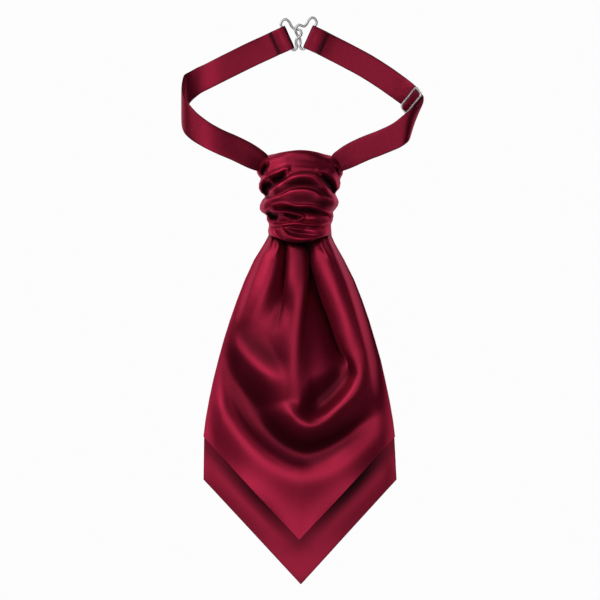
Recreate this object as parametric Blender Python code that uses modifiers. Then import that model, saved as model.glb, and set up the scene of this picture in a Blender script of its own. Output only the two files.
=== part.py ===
"""A ready-made satin cravat that lies flat, face up: two pointed tails, a ruched knot and a hooked neckband.

Metres, +Z up. The tails point along -Y, the clasp is at +Y, and the table that the cravat lies on is z = 0.
Tables are in millimetres in the garment's own frame, whose x = 0 runs down the middle of the tails.
"""
import math

import bmesh
import bpy
from mathutils import Vector

MM = 0.001

# Driving dimensions, in millimetres
CLOTH = 1.6
SEAM_GAP = 0.3
STRAP_WIDTH = 19.5
STRAP_THICKNESS = 1.6
WIRE_RADIUS = 0.65
GARMENT_SHIFT_X = -1.96
GARMENT_SHIFT_Y = 0.0

# Tails: half the width at each height of the garment, left and right of the middle
TAIL_WIDTHS = (
    # y, left, right
    (52.0, 25.2, 25.2),
    (46.0, 28.5, 27.8),
    (32.6, 36.8, 35.4),
    (16.6, 44.2, 43.4),
    (0.6, 50.4, 49.7),
    (-15.4, 56.0, 55.2),
    (-31.4, 61.0, 60.0),
    (-47.4, 65.4, 64.6),
    (-63.4, 69.4, 68.2),
    (-79.4, 72.8, 71.6),
    (-95.4, 75.6, 74.4),
    (-109.0, 77.3, 76.1),
    (-143.0, 77.8, 77.9),
)
FRONT_TAIL = {"corner_y": -108.5, "tip_x": -0.5, "tip_y": -191.0}
BACK_TAIL = {"corner_y": -143.0, "tip_x": 0.7, "tip_y": -226.9}
BACK_TAIL_TOP_Y = 47.0
BACK_TAIL_INSET = 0.9
BACK_TAIL_HEIGHT = 1.8
TAIL_EDGE_HEIGHT = BACK_TAIL_HEIGHT + SEAM_GAP + CLOTH + 0.15
TAIL_TOP_RISE = 7.7
TAIL_TOP_Y = 50.0
TAIL_TOP_REACH = 42.0
SIDE_HEM = 0.16
FOOT_HEM = 0.10
TAIL_TOP_SPREAD = 1.05
DOME_HEIGHT = 4.6
RIDGE_BLEND = 3.0
SETTLE = 1.6
FRONT_TAIL_GRID = (34, 40)
BACK_TAIL_GRID = (18, 20)
SMOOTHING_PASSES = 3

# Folds of the front tail. A fold's side is left or right as one walks along its points.
RIDGES = (
    # name, height, left width, right width, points of x, y and strength
    ("central pleat", 7.0, 7.5, 7.5,
     ((0.8, 50, 1.0), (-0.6, 24, 1.0), (-2.6, -16, 0.85), (-4.0, -50, 0.5), (-5.5, -86, 0.15))),
    ("left pleat", 6.5, 8.5, 15.0,
     ((-12.6, 50, 0.9), (-18.0, 26, 1.0), (-30.0, 4, 0.95), (-42.0, -12, 0.6), (-49.0, -22, 0.3))),
    ("right pleat", 7.5, 15.0, 7.5,
     ((12.6, 50, 0.9), (17.0, 26, 1.0), (27.0, 2, 1.0), (38.0, -20, 0.95), (48.0, -44, 0.85))),
    ("left cowl", 5.0, 12.0, 7.0,
     ((-50.0, -20, 0.35), (-48.0, -34, 0.85), (-40.0, -48, 1.0), (-25.0, -57, 1.0), (-10.0, -55, 0.5))),
    ("inner cowl", 8.0, 10.0, 11.0,
     ((49.0, -46, 0.8), (48.5, -62, 0.95), (40.0, -79, 1.0), (26.0, -94, 1.0), (11.0, -99, 1.0),
      (0.0, -94, 0.75), (-6.5, -84, 0.3))),
    ("outer cowl", 5.0, 6.5, 16.0,
     ((-60.0, -66, 0.25), (-52.0, -88, 0.6), (-40.0, -107, 0.95), (-22.0, -123, 1.0), (0.5, -134, 1.0),
      (20.0, -130, 1.0), (40.0, -118, 0.9), (62.0, -100, 0.3))),
)
VALLEYS = (
    # name, depth, left width, right width, points of x, y and strength
    ("left of the central pleat", 5.5, 5.0, 6.5,
     ((-7.4, 50, 1.0), (-9.8, 28, 1.0), (-16.0, 6, 0.9), (-26.0, -12, 0.5))),
    ("right of the central pleat", 6.5, 6.0, 6.0,
     ((7.6, 50, 1.0), (8.8, 28, 1.0), (17.0, -2, 1.0), (28.0, -28, 1.0), (38.0, -46, 0.9))),
    ("left pocket", 2.5, 14.0, 12.0,
     ((-36.0, -28, 0.8), (-24.0, -36, 1.0), (-14.0, -38, 0.6))),
    ("right pocket", 4.5, 12.0, 12.0,
     ((34.0, -60, 1.0), (27.0, -72, 1.0), (14.0, -82, 0.8))),
    ("great cowl valley", 4.5, 10.0, 11.0,
     ((-60.0, -28, 0.3), (-50.0, -54, 0.8), (-34.0, -82, 1.0), (-18.0, -106, 1.0), (0.0, -122, 1.0),
      (20.0, -117, 1.0), (40.0, -105, 0.9), (60.0, -92, 0.3))),
)

# Knot: a round of cloth about an axis along Y. An angle runs from straight up, and is negative on the left.
KNOT_AXIS_Z = 11.0
KNOT_HALF_WIDTH = 31.0
KNOT_HALF_HEIGHT = 19.0
CORE_SCALE = 0.61
INNER_SCALE = 0.645
CORE_SIDES = 24
CORE_FLAT_FROM = 130.0
CORE_SECTIONS = (
    # y, share of the full section
    (115.0, 0.7), (112.0, 0.9), (106.0, 1.0), (60.0, 1.0), (54.0, 0.97), (50.6, 0.9), (47.6, 0.7),
)
KNOT_STEP = 11.25
KNOT_TURN = 112.5
KNOT_SEAM = 0.5

# Lines between the stretches of the knot
KNOT_LINES = {
    # line: y at seven places evenly across the knot, from its left side to its right side
    "crown top": (115.6, 118.2, 119.4, 119.8, 119.0, 117.2, 115.0),
    "crown foot": (96.6, 98.4, 99.4, 100.0, 100.0, 100.6, 97.4),
    "first swag": (82.2, 89.8, 96.0, 99.4, 99.4, 93.0, 84.0),
    "second swag": (78.2, 81.6, 87.0, 88.8, 88.2, 82.2, 80.0),
    "third swag": (73.4, 77.0, 78.4, 77.8, 75.8, 73.2, 73.6),
    "crinkle": (68.8, 74.0, 74.6, 73.8, 72.2, 69.6, 70.6),
    "low roll": (62.6, 61.2, 62.8, 63.2, 62.4, 62.2, 62.4),
    "wrap top": (59.8, 58.0, 58.4, 59.4, 59.8, 59.4, 59.0),
    "wrap foot": (51.6, 48.6, 46.4, 46.2, 47.0, 49.4, 51.8),
}

# Each stretch's size: scale of the knot's section at five places from left to right
STRETCHES = (
    # node, upper line, lower line, from angle, to angle, left, mid left, middle, mid right, right, profile
    ("knot_crown", "crown top", "crown foot", -1, 1, 0.88, 0.92, 0.94, 0.90, 0.84, "crown"),
    ("knot_fold_left", "crown foot", "first swag", -1, -0.25, 1.05, 1.03, 0.98, 0.98, 0.98, "pocket"),
    ("knot_fold_right", "crown foot", "first swag", 0.5, 1, 0.98, 0.98, 0.98, 1.0, 1.03, "pocket"),
    ("knot_swag_upper", "first swag", "second swag", -1, 1, 0.99, 1.06, 1.07, 1.05, 0.97, "shingle"),
    ("knot_swag_middle", "second swag", "third swag", -1, 1, 1.04, 1.10, 1.10, 1.08, 1.00, "shingle"),
    ("knot_swag_lower", "third swag", "crinkle", -1, 1, 1.02, 1.08, 1.07, 1.03, 0.96, "lip"),
    ("knot_crinkle", "crinkle", "low roll", -1, 1, 0.86, 0.87, 0.88, 0.87, 0.85, "crinkle"),
    ("knot_low_roll", "low roll", "wrap top", -1, 1, 0.83, 0.92, 0.92, 0.89, 0.81, "roll"),
    ("knot_wrap", "wrap top", "wrap foot", -1, 1, 0.82, 0.86, 0.86, 0.86, 0.80, "band"),
)
PROFILES = {
    # profile: pairs of place down the stretch and share of its full scale
    "crown": ((0.0, 0.86), (0.06, 0.95), (0.25, 1.0), (0.55, 1.0), (0.85, 0.97), (1.0, 0.93)),
    "pocket": ((0.0, 0.93), (0.14, 0.99), (0.32, 1.0), (0.5, 0.90), (0.75, 0.82), (1.0, 0.84)),
    "shingle": ((0.0, 0.93), (0.10, 0.99), (0.25, 1.0), (0.55, 0.96), (0.85, 0.92), (1.0, 0.90)),
    "lip": ((0.0, 0.92), (0.25, 0.97), (0.55, 1.0), (0.78, 0.99), (0.92, 0.95), (1.0, 0.88)),
    "crinkle": ((0.0, 0.93), (0.16, 0.98), (0.38, 0.96), (0.6, 1.0), (0.82, 0.97), (1.0, 0.92)),
    "roll": ((0.0, 0.92), (0.18, 0.98), (0.4, 1.0), (0.62, 1.0), (0.84, 0.97), (1.0, 0.92)),
    "band": ((0.0, 0.95), (0.1, 0.98), (0.3, 1.0), (0.7, 1.0), (0.92, 0.98), (1.0, 0.93)),
}
EARS = (
    # node, angles, y at the top and foot, inner scale, outer scale
    ("knot_ear_left", (-78.75, -67.5, -56.25, -45.0), (112.0, 99.0), 0.93, (1.10, 1.12, 1.08, 1.02)),
    ("knot_ear_right", (45.0, 56.25, 67.5, 78.75), (112.0, 99.6), 0.90, (0.98, 1.04, 1.09, 1.10)),
)
EAR_PROFILE = ((0.0, 0.90), (0.2, 0.98), (0.5, 1.0), (0.8, 0.98), (1.0, 0.92))

# Neckband: the middle of each strap, how far its crosswise line leans from +Y and rises, in degrees,
# and the share of the full width. The strap narrows where the knot gathers it.
STRAP_LEFT = (
    # x, y, z, lean, rise, width
    (-30.6, 110.2, 13.0, -30, 0, 0.86),
    (-40.0, 115.4, 14.8, -14, 0, 0.97),
    (-52.0, 121.2, 18.5, 0, 0, 1.0),
    (-64.0, 126.4, 24.0, 0, 0, 1.0),
    (-75.0, 132.3, 30.5, 0, 0, 1.0),
    (-84.5, 139.2, 34.0, 0, 0, 1.0),
    (-91.0, 146.5, 30.5, 0, 0, 1.0),
    (-93.6, 153.5, 22.0, 0, 0, 1.0),
    (-93.3, 161.0, 12.5, 0, 0, 1.0),
    (-90.2, 168.2, 5.0, 0, 0, 1.0),
    (-82.5, 174.8, 1.5, 0, 0, 1.0),
    (-72.0, 180.4, 0.8, 0, 0, 1.0),
    (-55.0, 189.0, 0.8, 6, 0, 1.0),
    (-38.0, 197.4, 0.8, 16, 0, 1.0),
    (-26.0, 202.9, 1.3, 24, 0, 1.0),
    (-19.6, 205.9, 2.6, 24, 0, 1.0),
    (-14.0, 208.4, 4.0, 24, 0, 1.0),
    (-10.0, 210.2, 4.0, 24, 0, 1.0),
    (-8.5, 210.9, 3.2, 24, 0, 1.0),
)
STRAP_RIGHT_FRONT = (
    # x, y, z, lean, rise, width
    (29.7, 109.8, 13.0, 30, 0, 0.86),
    (40.0, 115.6, 14.8, 12, 0, 0.97),
    (52.0, 121.0, 18.5, 0, 0, 1.0),
    (64.0, 125.6, 24.0, 0, 0, 1.0),
    (75.0, 131.0, 30.5, 0, 0, 1.0),
    (84.5, 137.6, 34.0, 0, 0, 1.0),
    (91.6, 144.6, 31.0, -6, 2, 1.0),
    (94.4, 150.0, 23.8, -20, 12, 1.0),
)
STRAP_RIGHT_BACK = (
    # x, y, z, lean, rise, width
    (82.6, 167.4, 4.4, -35, 14, 1.0),
    (76.0, 172.4, 1.6, -26, 4, 1.0),
    (66.0, 179.4, 0.8, -20, 0, 1.0),
    (52.0, 188.2, 0.8, -20, 0, 1.0),
    (36.0, 196.8, 0.8, -24, 0, 1.0),
    (26.6, 201.6, 1.3, -24, 0, 1.0),
    (20.4, 204.7, 2.6, -24, 0, 1.0),
    (14.4, 207.7, 4.0, -24, 0, 1.0),
    (10.0, 209.8, 4.0, -24, 0, 1.0),
    (8.5, 210.5, 3.2, -24, 0, 1.0),
)
STRAP_RINGS_PER_SPAN = 3
STRAP_SECTION = ((-1.0, 0.25), (-0.9, 0.5), (0.0, 0.5), (0.9, 0.5), (1.0, 0.25))
TURN_BACK_LENGTH = 12.0
TURN_BACK_THICKNESS = 1.4

# Slider: a wire frame round the strap with a bar across its middle, tilted with the strap that it holds
SLIDER_CENTRE = (88.7, 159.7, 11.5)
SLIDER_LEAN = -39
SLIDER_RISE = 24
SLIDER_RUN = (-0.42, 0.69, -0.59)
SLIDER_WIRE_RADIUS = 0.6
SLIDER_LENGTH = 22.6
SLIDER_BAR_PITCH = 4.8
SLIDER_CORNER_RADIUS = 1.8

# Clasp: one wire loop on each strap end
CLASP_EYE = (
    # x, y, z
    (-7.6, 203.4, 2.4), (-13.8, 217.4, 2.4), (-15.3, 221.0, 2.4), (-14.1, 223.8, 2.4), (-11.4, 225.0, 2.4),
    (-8.8, 223.1, 2.2), (-7.0, 220.0, 1.8), (-5.0, 217.8, 1.3), (-2.4, 217.1, 1.2), (0.2, 216.2, 2.0),
    (1.1, 214.0, 2.9), (0.0, 211.4, 3.2), (-2.4, 209.3, 3.1), (-3.2, 206.2, 2.6), (-2.4, 203.2, 2.4),
    (-3.5, 200.9, 2.4), (-5.6, 200.6, 2.4),
)
CLASP_HOOK = (
    # x, y, z
    (5.4, 205.6, 2.4), (11.6, 218.6, 2.4), (13.3, 222.2, 2.4), (12.0, 225.4, 2.4), (9.4, 226.3, 2.4),
    (7.0, 224.3, 2.4), (5.4, 221.3, 2.6), (3.2, 219.4, 2.9), (1.1, 220.0, 3.1), (-1.0, 220.4, 3.2),
    (-2.9, 218.6, 3.2), (-3.4, 215.6, 2.9), (-2.2, 212.6, 1.7), (-0.3, 209.9, 1.2), (0.3, 206.6, 1.4),
    (0.0, 203.6, 1.8), (1.2, 201.4, 2.2), (3.4, 201.6, 2.4),
)
WIRE_POINTS_PER_SPAN = 3


def clear_scene():
    for old in list(bpy.data.objects):
        bpy.data.objects.remove(old, do_unlink=True)


def make_material(name, colour, roughness, metallic):
    material = bpy.data.materials.new(name)
    material.use_nodes = True
    shader = material.node_tree.nodes["Principled BSDF"]
    shader.inputs["Base Color"].default_value = (*colour, 1.0)
    shader.inputs["Roughness"].default_value = roughness
    shader.inputs["Metallic"].default_value = metallic
    return material


def add_object(name, data, material, garment, collection):
    obj = bpy.data.objects.new(name, data)
    data.materials.append(material)
    obj.parent = garment
    collection.objects.link(obj)
    return obj


def table_value(rows, place, column):
    """Read a column of a table at a place between its rows, whose first column falls."""
    if place >= rows[0][0]:
        return rows[0][column]
    for upper, lower in zip(rows, rows[1:]):
        if place >= lower[0]:
            share = (upper[0] - place) / (upper[0] - lower[0])
            return upper[column] + share * (lower[column] - upper[column])
    return rows[-1][column]


def spline_value(values, place):
    """A smooth curve through evenly spaced values, read at a place from 0 to 1."""
    scaled = min(max(place, 0.0), 1.0) * (len(values) - 1)
    span = min(int(scaled), len(values) - 2)
    t = scaled - span
    before = values[max(span - 1, 0)]
    start = values[span]
    end = values[span + 1]
    after = values[min(span + 2, len(values) - 1)]
    slope_in = 0.5 * (end - before)
    slope_out = 0.5 * (after - start)
    return (
        (2 * t**3 - 3 * t**2 + 1) * start
        + (t**3 - 2 * t**2 + t) * slope_in
        + (3 * t**2 - 2 * t**3) * end
        + (t**3 - t**2) * slope_out
    )


def smooth_path(rows, steps):
    """A smooth curve through the rows of a table, with the same columns and a number of steps between rows."""
    columns = list(zip(*rows))
    count = (len(rows) - 1) * steps
    return [tuple(spline_value(column, i / count) for column in columns) for i in range(count + 1)]


def nearest_on_path(path, x, y):
    """Distance to a path of x, y and strength, which side the point is on, and the strength there."""
    best = (1e9, 0.0, 0.0)
    for (ax, ay, strength_a), (bx, by, strength_b) in zip(path, path[1:]):
        dx = bx - ax
        dy = by - ay
        share = ((x - ax) * dx + (y - ay) * dy) / (dx * dx + dy * dy)
        share = min(max(share, 0.0), 1.0)
        away_x = x - ax - share * dx
        away_y = y - ay - share * dy
        distance = math.hypot(away_x, away_y)
        if distance < best[0]:
            side = dx * away_y - dy * away_x
            best = (distance, side, strength_a + share * (strength_b - strength_a))
    return best


def smooth_folds(table):
    return [(height, left, right, smooth_path(points, 4)) for _, height, left, right, points in table]


def fold_amount(fold, x, y):
    height, left, right, path = fold
    distance, side, strength = nearest_on_path(path, x, y)
    width = left if side > 0 else right
    return height * strength * math.exp(-((distance / width) ** 2))


def tail_half_widths(y):
    return table_value(TAIL_WIDTHS, y, 1), table_value(TAIL_WIDTHS, y, 2)


def tail_outline(tail, top_y, across, down, inset=0.0):
    """Plan position of a point of a tail: across runs from -1 to 1 and down from 0 at the knot to 1."""
    edge_y = top_y + down * (tail["corner_y"] - top_y)
    left, right = tail_half_widths(edge_y)
    half = (left if across < 0 else right) - inset
    end_y = tail["corner_y"] + (1 - abs(across)) * (tail["tip_y"] - tail["corner_y"])
    x = across * half + tail["tip_x"] * (1 - abs(across)) * down
    y = top_y + down * (end_y - top_y)
    return x, y


def knot_line(line, across):
    return spline_value(KNOT_LINES[line], (across + 1) / 2)


def front_tail_height(x, y, across, down, ridges, valleys):
    """Height of the front tail's face: a low dome that the folds rise from and settle into."""
    fullness = (1 - across**2) ** 0.8
    dome = DOME_HEIGHT * fullness * (1 - down**3)
    knot_rise = TAIL_TOP_RISE * fullness * math.exp(-(((TAIL_TOP_Y - y) / TAIL_TOP_REACH) ** 2))
    edge = min(1.0, (1 - abs(across)) / SIDE_HEM) * min(1.0, (1 - down) / FOOT_HEM)
    raised = sum(fold_amount(fold, x, y) ** RIDGE_BLEND for fold in ridges) ** (1 / RIDGE_BLEND)
    sunk = sum(fold_amount(fold, x, y) ** RIDGE_BLEND for fold in valleys) ** (1 / RIDGE_BLEND)
    lift = dome + knot_rise + edge * (raised - sunk)
    return TAIL_EDGE_HEIGHT + SETTLE * math.log1p(math.exp(lift / SETTLE)) - SETTLE * math.log(2) * (1 - edge)


def add_grid(columns, rows):
    """A flat grid of faces. Its points are given places across, from -1 to 1, and down, from 0 to 1."""
    grid = bmesh.new()
    bmesh.ops.create_grid(grid, x_segments=columns, y_segments=rows, size=1.0)
    places = [(vert, vert.co.x, (1 - vert.co.y) / 2) for vert in grid.verts]
    return grid, places


def make_front_tail(material, garment, collection):
    ridges = smooth_folds(RIDGES)
    valleys = smooth_folds(VALLEYS)
    grid, places = add_grid(*FRONT_TAIL_GRID)
    for vert, across, down in places:
        top_y = knot_line("wrap foot", across * TAIL_TOP_SPREAD) - SEAM_GAP
        x, y = tail_outline(FRONT_TAIL, top_y, across, down)
        height = front_tail_height(x, y, across, down, ridges, valleys)
        vert.co = (x * MM, y * MM, height * MM)
    for _ in range(SMOOTHING_PASSES):
        inner = [vert for vert in grid.verts if not vert.is_boundary]
        bmesh.ops.smooth_vert(grid, verts=inner, factor=0.5, use_axis_z=True)
    bmesh.ops.recalc_face_normals(grid, faces=grid.faces)
    mesh = bpy.data.meshes.new("tail_front")
    grid.to_mesh(mesh)
    grid.free()
    tail = add_object("tail_front", mesh, material, garment, collection)
    wall = tail.modifiers.new("Cloth wall", "SOLIDIFY")
    wall.thickness = CLOTH * MM
    wall.offset = -1.0
    return tail


def make_back_tail(material, garment, collection):
    grid, places = add_grid(*BACK_TAIL_GRID)
    for vert, across, down in places:
        x, y = tail_outline(BACK_TAIL, BACK_TAIL_TOP_Y, across, down, BACK_TAIL_INSET)
        vert.co = (x * MM, y * MM, BACK_TAIL_HEIGHT * MM)
    bottom = bmesh.ops.extrude_face_region(grid, geom=list(grid.faces))
    for item in bottom["geom"]:
        if isinstance(item, bmesh.types.BMVert):
            item.co.z = 0.0
    bmesh.ops.recalc_face_normals(grid, faces=grid.faces)
    mesh = bpy.data.meshes.new("tail_back")
    grid.to_mesh(mesh)
    grid.free()
    return add_object("tail_back", mesh, material, garment, collection)


def loft(name, rings, material, garment, collection, crossed_side=None):
    """A closed body through rings of the same number of points, with its two ends filled.

    Each side between two rings is two triangles. The crossed side is cut along its other diagonal.
    """
    body = bmesh.new()
    rows = [[body.verts.new(Vector(point) * MM) for point in ring] for ring in rings]
    count = len(rows[0])
    for row, following in zip(rows, rows[1:]):
        for i in range(count):
            k = (i + 1) % count
            if i == crossed_side:
                body.faces.new((row[i], row[k], following[i]))
                body.faces.new((row[k], following[k], following[i]))
            else:
                body.faces.new((row[i], row[k], following[k]))
                body.faces.new((row[i], following[k], following[i]))
    body.faces.new(list(reversed(rows[0])))
    body.faces.new(rows[-1])
    bmesh.ops.recalc_face_normals(body, faces=body.faces)
    mesh = bpy.data.meshes.new(name)
    body.to_mesh(mesh)
    body.free()
    return add_object(name, mesh, material, garment, collection)


def knot_point(angle, scale, y):
    turn = math.radians(angle)
    x = KNOT_HALF_WIDTH * scale * math.sin(turn)
    z = KNOT_AXIS_Z + KNOT_HALF_HEIGHT * scale * math.cos(turn)
    return (x, y, z)


def stretch_rings(upper, lower, first, last, scales, profile):
    """Sections of one stretch of the knot, from its left end to its right end."""
    steps = round(2 * KNOT_TURN / KNOT_STEP)
    rings = []
    for i in range(steps + 1):
        angle = -KNOT_TURN + i * KNOT_STEP
        turned = angle / KNOT_TURN
        if turned < first - 0.01 or turned > last + 0.01:
            continue
        across = math.sin(math.radians(max(-90.0, min(90.0, angle))))
        full = spline_value(scales, (across + 1) / 2)
        top_y = knot_line(upper, across) - KNOT_SEAM / 2
        foot_y = knot_line(lower, across) + KNOT_SEAM / 2
        ring = [knot_point(angle, INNER_SCALE, top_y)]
        for place, share in profile:
            ring.append(knot_point(angle, full * share, top_y + place * (foot_y - top_y)))
        ring.append(knot_point(angle, INNER_SCALE, foot_y))
        rings.append(ring)
    return rings


def make_knot_stretches(material, garment, collection):
    for name, upper, lower, first, last, a, b, c, d, e, profile in STRETCHES:
        rings = stretch_rings(upper, lower, first, last, (a, b, c, d, e), PROFILES[profile])
        lower_wall = len(PROFILES[profile])
        loft(name, rings, material, garment, collection, crossed_side=lower_wall)


def make_ears(material, garment, collection):
    for name, angles, (top_y, foot_y), inner, outer in EARS:
        rings = []
        for angle, full in zip(angles, outer):
            ring = [knot_point(angle, inner, top_y)]
            for place, share in EAR_PROFILE:
                ring.append(knot_point(angle, full * share, top_y + place * (foot_y - top_y)))
            ring.append(knot_point(angle, inner, foot_y))
            rings.append(ring)
        loft(name, rings, material, garment, collection)


def make_core(material, garment, collection):
    """The hidden gathered layers: one rounded body with a flat underside."""
    rings = []
    for y, share in CORE_SECTIONS:
        ring = []
        for i in range(CORE_SIDES):
            angle = i * 360 / CORE_SIDES - 180
            x, _, z = knot_point(angle, CORE_SCALE * share, y)
            ring.append((x, y, z if abs(angle) < CORE_FLAT_FROM else 0.0))
        rings.append(ring)
    loft("knot_core", rings, material, garment, collection)


def crosswise_line(lean, rise):
    """Direction across a strap: it leans from +Y towards -X, and rises from level."""
    level = math.cos(math.radians(rise))
    return Vector((
        -math.sin(math.radians(lean)) * level,
        math.cos(math.radians(lean)) * level,
        math.sin(math.radians(rise)),
    ))


def strap_rings(stations):
    path = smooth_path(stations, STRAP_RINGS_PER_SPAN)
    rings = []
    for i, (x, y, z, lean, rise, width) in enumerate(path):
        before = Vector(path[max(i - 1, 0)][:3])
        after = Vector(path[min(i + 1, len(path) - 1)][:3])
        along = (after - before).normalized()
        crosswise = crosswise_line(lean, rise)
        square = along.cross(crosswise)
        half = STRAP_WIDTH / 2 * width / square.length
        up = square.normalized()
        middle = Vector((x, y, z))
        face = [middle + crosswise * half * s + up * STRAP_THICKNESS * t for s, t in STRAP_SECTION]
        back = [middle + crosswise * half * s - up * STRAP_THICKNESS * t for s, t in reversed(STRAP_SECTION)]
        rings.append([(point.x, point.y, max(point.z, 0.0)) for point in face + back])
    return rings


def slider_axes():
    """The slider's own directions: across the strap, along it towards the clasp, and out of its face."""
    crosswise = crosswise_line(SLIDER_LEAN, SLIDER_RISE)
    run = Vector(SLIDER_RUN)
    along = (run - run.dot(crosswise) * crosswise).normalized()
    out = along.cross(crosswise)
    if out.z < 0:
        out.negate()
    return crosswise, along, out


def slider_weave():
    """Stations of the strap where it runs under the first bar, over the middle one and under the last."""
    _, along, out = slider_axes()
    clear = SLIDER_WIRE_RADIUS + STRAP_THICKNESS / 2 + SEAM_GAP
    stations = []
    for bars, lift in ((-1.0, -1.0), (-0.5, 0.0), (0.0, 1.0), (0.5, 0.0), (1.0, -1.0)):
        place = Vector(SLIDER_CENTRE) + along * bars * SLIDER_BAR_PITCH + out * lift * clear
        stations.append((*place, SLIDER_LEAN, SLIDER_RISE, 1.0))
    return tuple(stations)


def make_straps(material, garment, collection):
    loft("strap_left", strap_rings(STRAP_LEFT), material, garment, collection)
    right = STRAP_RIGHT_FRONT + slider_weave() + STRAP_RIGHT_BACK
    loft("strap_right", strap_rings(right), material, garment, collection)


def make_turn_back(name, stations, material, garment, collection):
    """The end of a strap, turned back under itself round the clasp wire and stitched down."""
    end_x, end_y, _, lean = stations[-1][:4]
    sense = -1 if end_x < 0 else 1
    along = Vector((math.cos(math.radians(lean)) * sense, -abs(math.sin(math.radians(lean))), 0.0))
    crosswise = Vector((-along.y, along.x, 0.0))
    half = STRAP_WIDTH / 2
    rings = []
    for place in (0.0, 0.5, TURN_BACK_LENGTH - 0.5, TURN_BACK_LENGTH):
        thickness = TURN_BACK_THICKNESS * (0.6 if place in (0.0, TURN_BACK_LENGTH) else 1.0)
        middle = Vector((end_x, end_y, 0.0)) + along * place
        left = middle - crosswise * half
        right = middle + crosswise * half
        rings.append([(left.x, left.y, 0.0), (left.x, left.y, thickness),
                      (right.x, right.y, thickness), (right.x, right.y, 0.0)])
    loft(name, rings, material, garment, collection)


def add_wire(name, points, radius, closed, material, garment, collection):
    data = bpy.data.curves.new(name, "CURVE")
    data.dimensions = "3D"
    data.bevel_depth = radius * MM
    data.bevel_resolution = 2
    data.use_fill_caps = not closed
    spline = data.splines.new("POLY")
    spline.points.add(len(points) - 1)
    for point, place in zip(spline.points, points):
        point.co = (*(Vector(place) * MM), 1.0)
    spline.use_cyclic_u = closed
    return add_object(name, data, material, garment, collection)


def make_slider(material, garment, collection):
    crosswise, along, _ = slider_axes()
    centre = Vector(SLIDER_CENTRE)
    half_long = SLIDER_LENGTH / 2 - SLIDER_WIRE_RADIUS
    outline = []
    for corner in range(4):
        side = 1 if corner in (0, 3) else -1
        end = 1 if corner < 2 else -1
        turn_x = side * (half_long - SLIDER_CORNER_RADIUS)
        turn_y = end * (SLIDER_BAR_PITCH - SLIDER_CORNER_RADIUS)
        for step in range(4):
            angle = math.radians(corner * 90 + step * 30)
            across = turn_x + SLIDER_CORNER_RADIUS * math.cos(angle)
            down = turn_y + SLIDER_CORNER_RADIUS * math.sin(angle)
            outline.append(centre + crosswise * across + along * down)
    add_wire("slider_frame", outline, SLIDER_WIRE_RADIUS, True, material, garment, collection)
    reach = half_long - SLIDER_WIRE_RADIUS - SEAM_GAP
    bar = [centre + crosswise * reach * share for share in (-1.0, 0.0, 1.0)]
    add_wire("slider_bar", bar, SLIDER_WIRE_RADIUS, False, material, garment, collection)


def make_clasp(material, garment, collection):
    for name, table in (("clasp_eye", CLASP_EYE), ("clasp_hook", CLASP_HOOK)):
        closed_table = table + table[:1]
        points = smooth_path(closed_table, WIRE_POINTS_PER_SPAN)[:-1]
        add_wire(name, points, WIRE_RADIUS, True, material, garment, collection)


def main():
    clear_scene()
    collection = bpy.data.collections.new("silk_cravat")
    bpy.context.scene.collection.children.link(collection)
    garment = bpy.data.objects.new("garment", None)
    garment.location = (GARMENT_SHIFT_X * MM, GARMENT_SHIFT_Y * MM, 0.0)
    collection.objects.link(garment)
    satin = make_material("burgundy_satin", (0.21, 0.008, 0.026), 0.38, 0.0)
    steel = make_material("nickel_wire", (0.80, 0.80, 0.82), 0.2, 1.0)
    make_back_tail(satin, garment, collection)
    make_front_tail(satin, garment, collection)
    make_core(satin, garment, collection)
    make_knot_stretches(satin, garment, collection)
    make_ears(satin, garment, collection)
    make_straps(satin, garment, collection)
    make_turn_back("strap_end_left", STRAP_LEFT, satin, garment, collection)
    make_turn_back("strap_end_right", STRAP_RIGHT_BACK, satin, garment, collection)
    make_slider(steel, garment, collection)
    make_clasp(steel, garment, collection)


main()
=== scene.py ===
# %% [markdown]
# A silk cravat, laid flat and seen from above
#
# This lesson dresses a ready-made wedding cravat. Two pointed satin tails hang from a ruched knot, and a satin
# neckband with a wire slider closes with a wire hook and eye. Its plain solids are loaded first. They say where each
# piece lies, and every piece that is made below takes the place of one or more of them.

# %% Load the plain solids
import math

import bmesh
import bpy
import numpy as np
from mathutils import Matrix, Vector


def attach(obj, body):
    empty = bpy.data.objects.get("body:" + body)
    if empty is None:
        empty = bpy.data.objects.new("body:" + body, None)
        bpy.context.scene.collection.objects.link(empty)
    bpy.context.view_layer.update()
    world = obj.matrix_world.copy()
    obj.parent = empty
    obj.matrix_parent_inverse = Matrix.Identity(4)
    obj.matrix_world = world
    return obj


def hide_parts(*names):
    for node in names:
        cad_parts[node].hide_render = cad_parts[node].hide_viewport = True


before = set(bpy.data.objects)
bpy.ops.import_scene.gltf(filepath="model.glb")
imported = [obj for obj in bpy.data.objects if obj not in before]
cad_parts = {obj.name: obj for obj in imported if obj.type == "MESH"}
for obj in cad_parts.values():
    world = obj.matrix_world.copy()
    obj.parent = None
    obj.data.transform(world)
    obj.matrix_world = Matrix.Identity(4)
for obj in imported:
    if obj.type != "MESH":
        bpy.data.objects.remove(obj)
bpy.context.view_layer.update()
MM = 0.001
MIDDLE_X = -1.96

# %% [markdown]
# The camera looks straight down, because the cravat is photographed from above. A long lens far away keeps the sides
# parallel, as in a catalogue picture. The picture is 600 pixels wide, and one pixel is 0.8 mm of cloth.

# %% Camera
PICTURE_PIXELS = 600
PIXEL_MM = 0.8
CAMERA_HEIGHT = 3.0
SENSOR = 36.0

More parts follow.
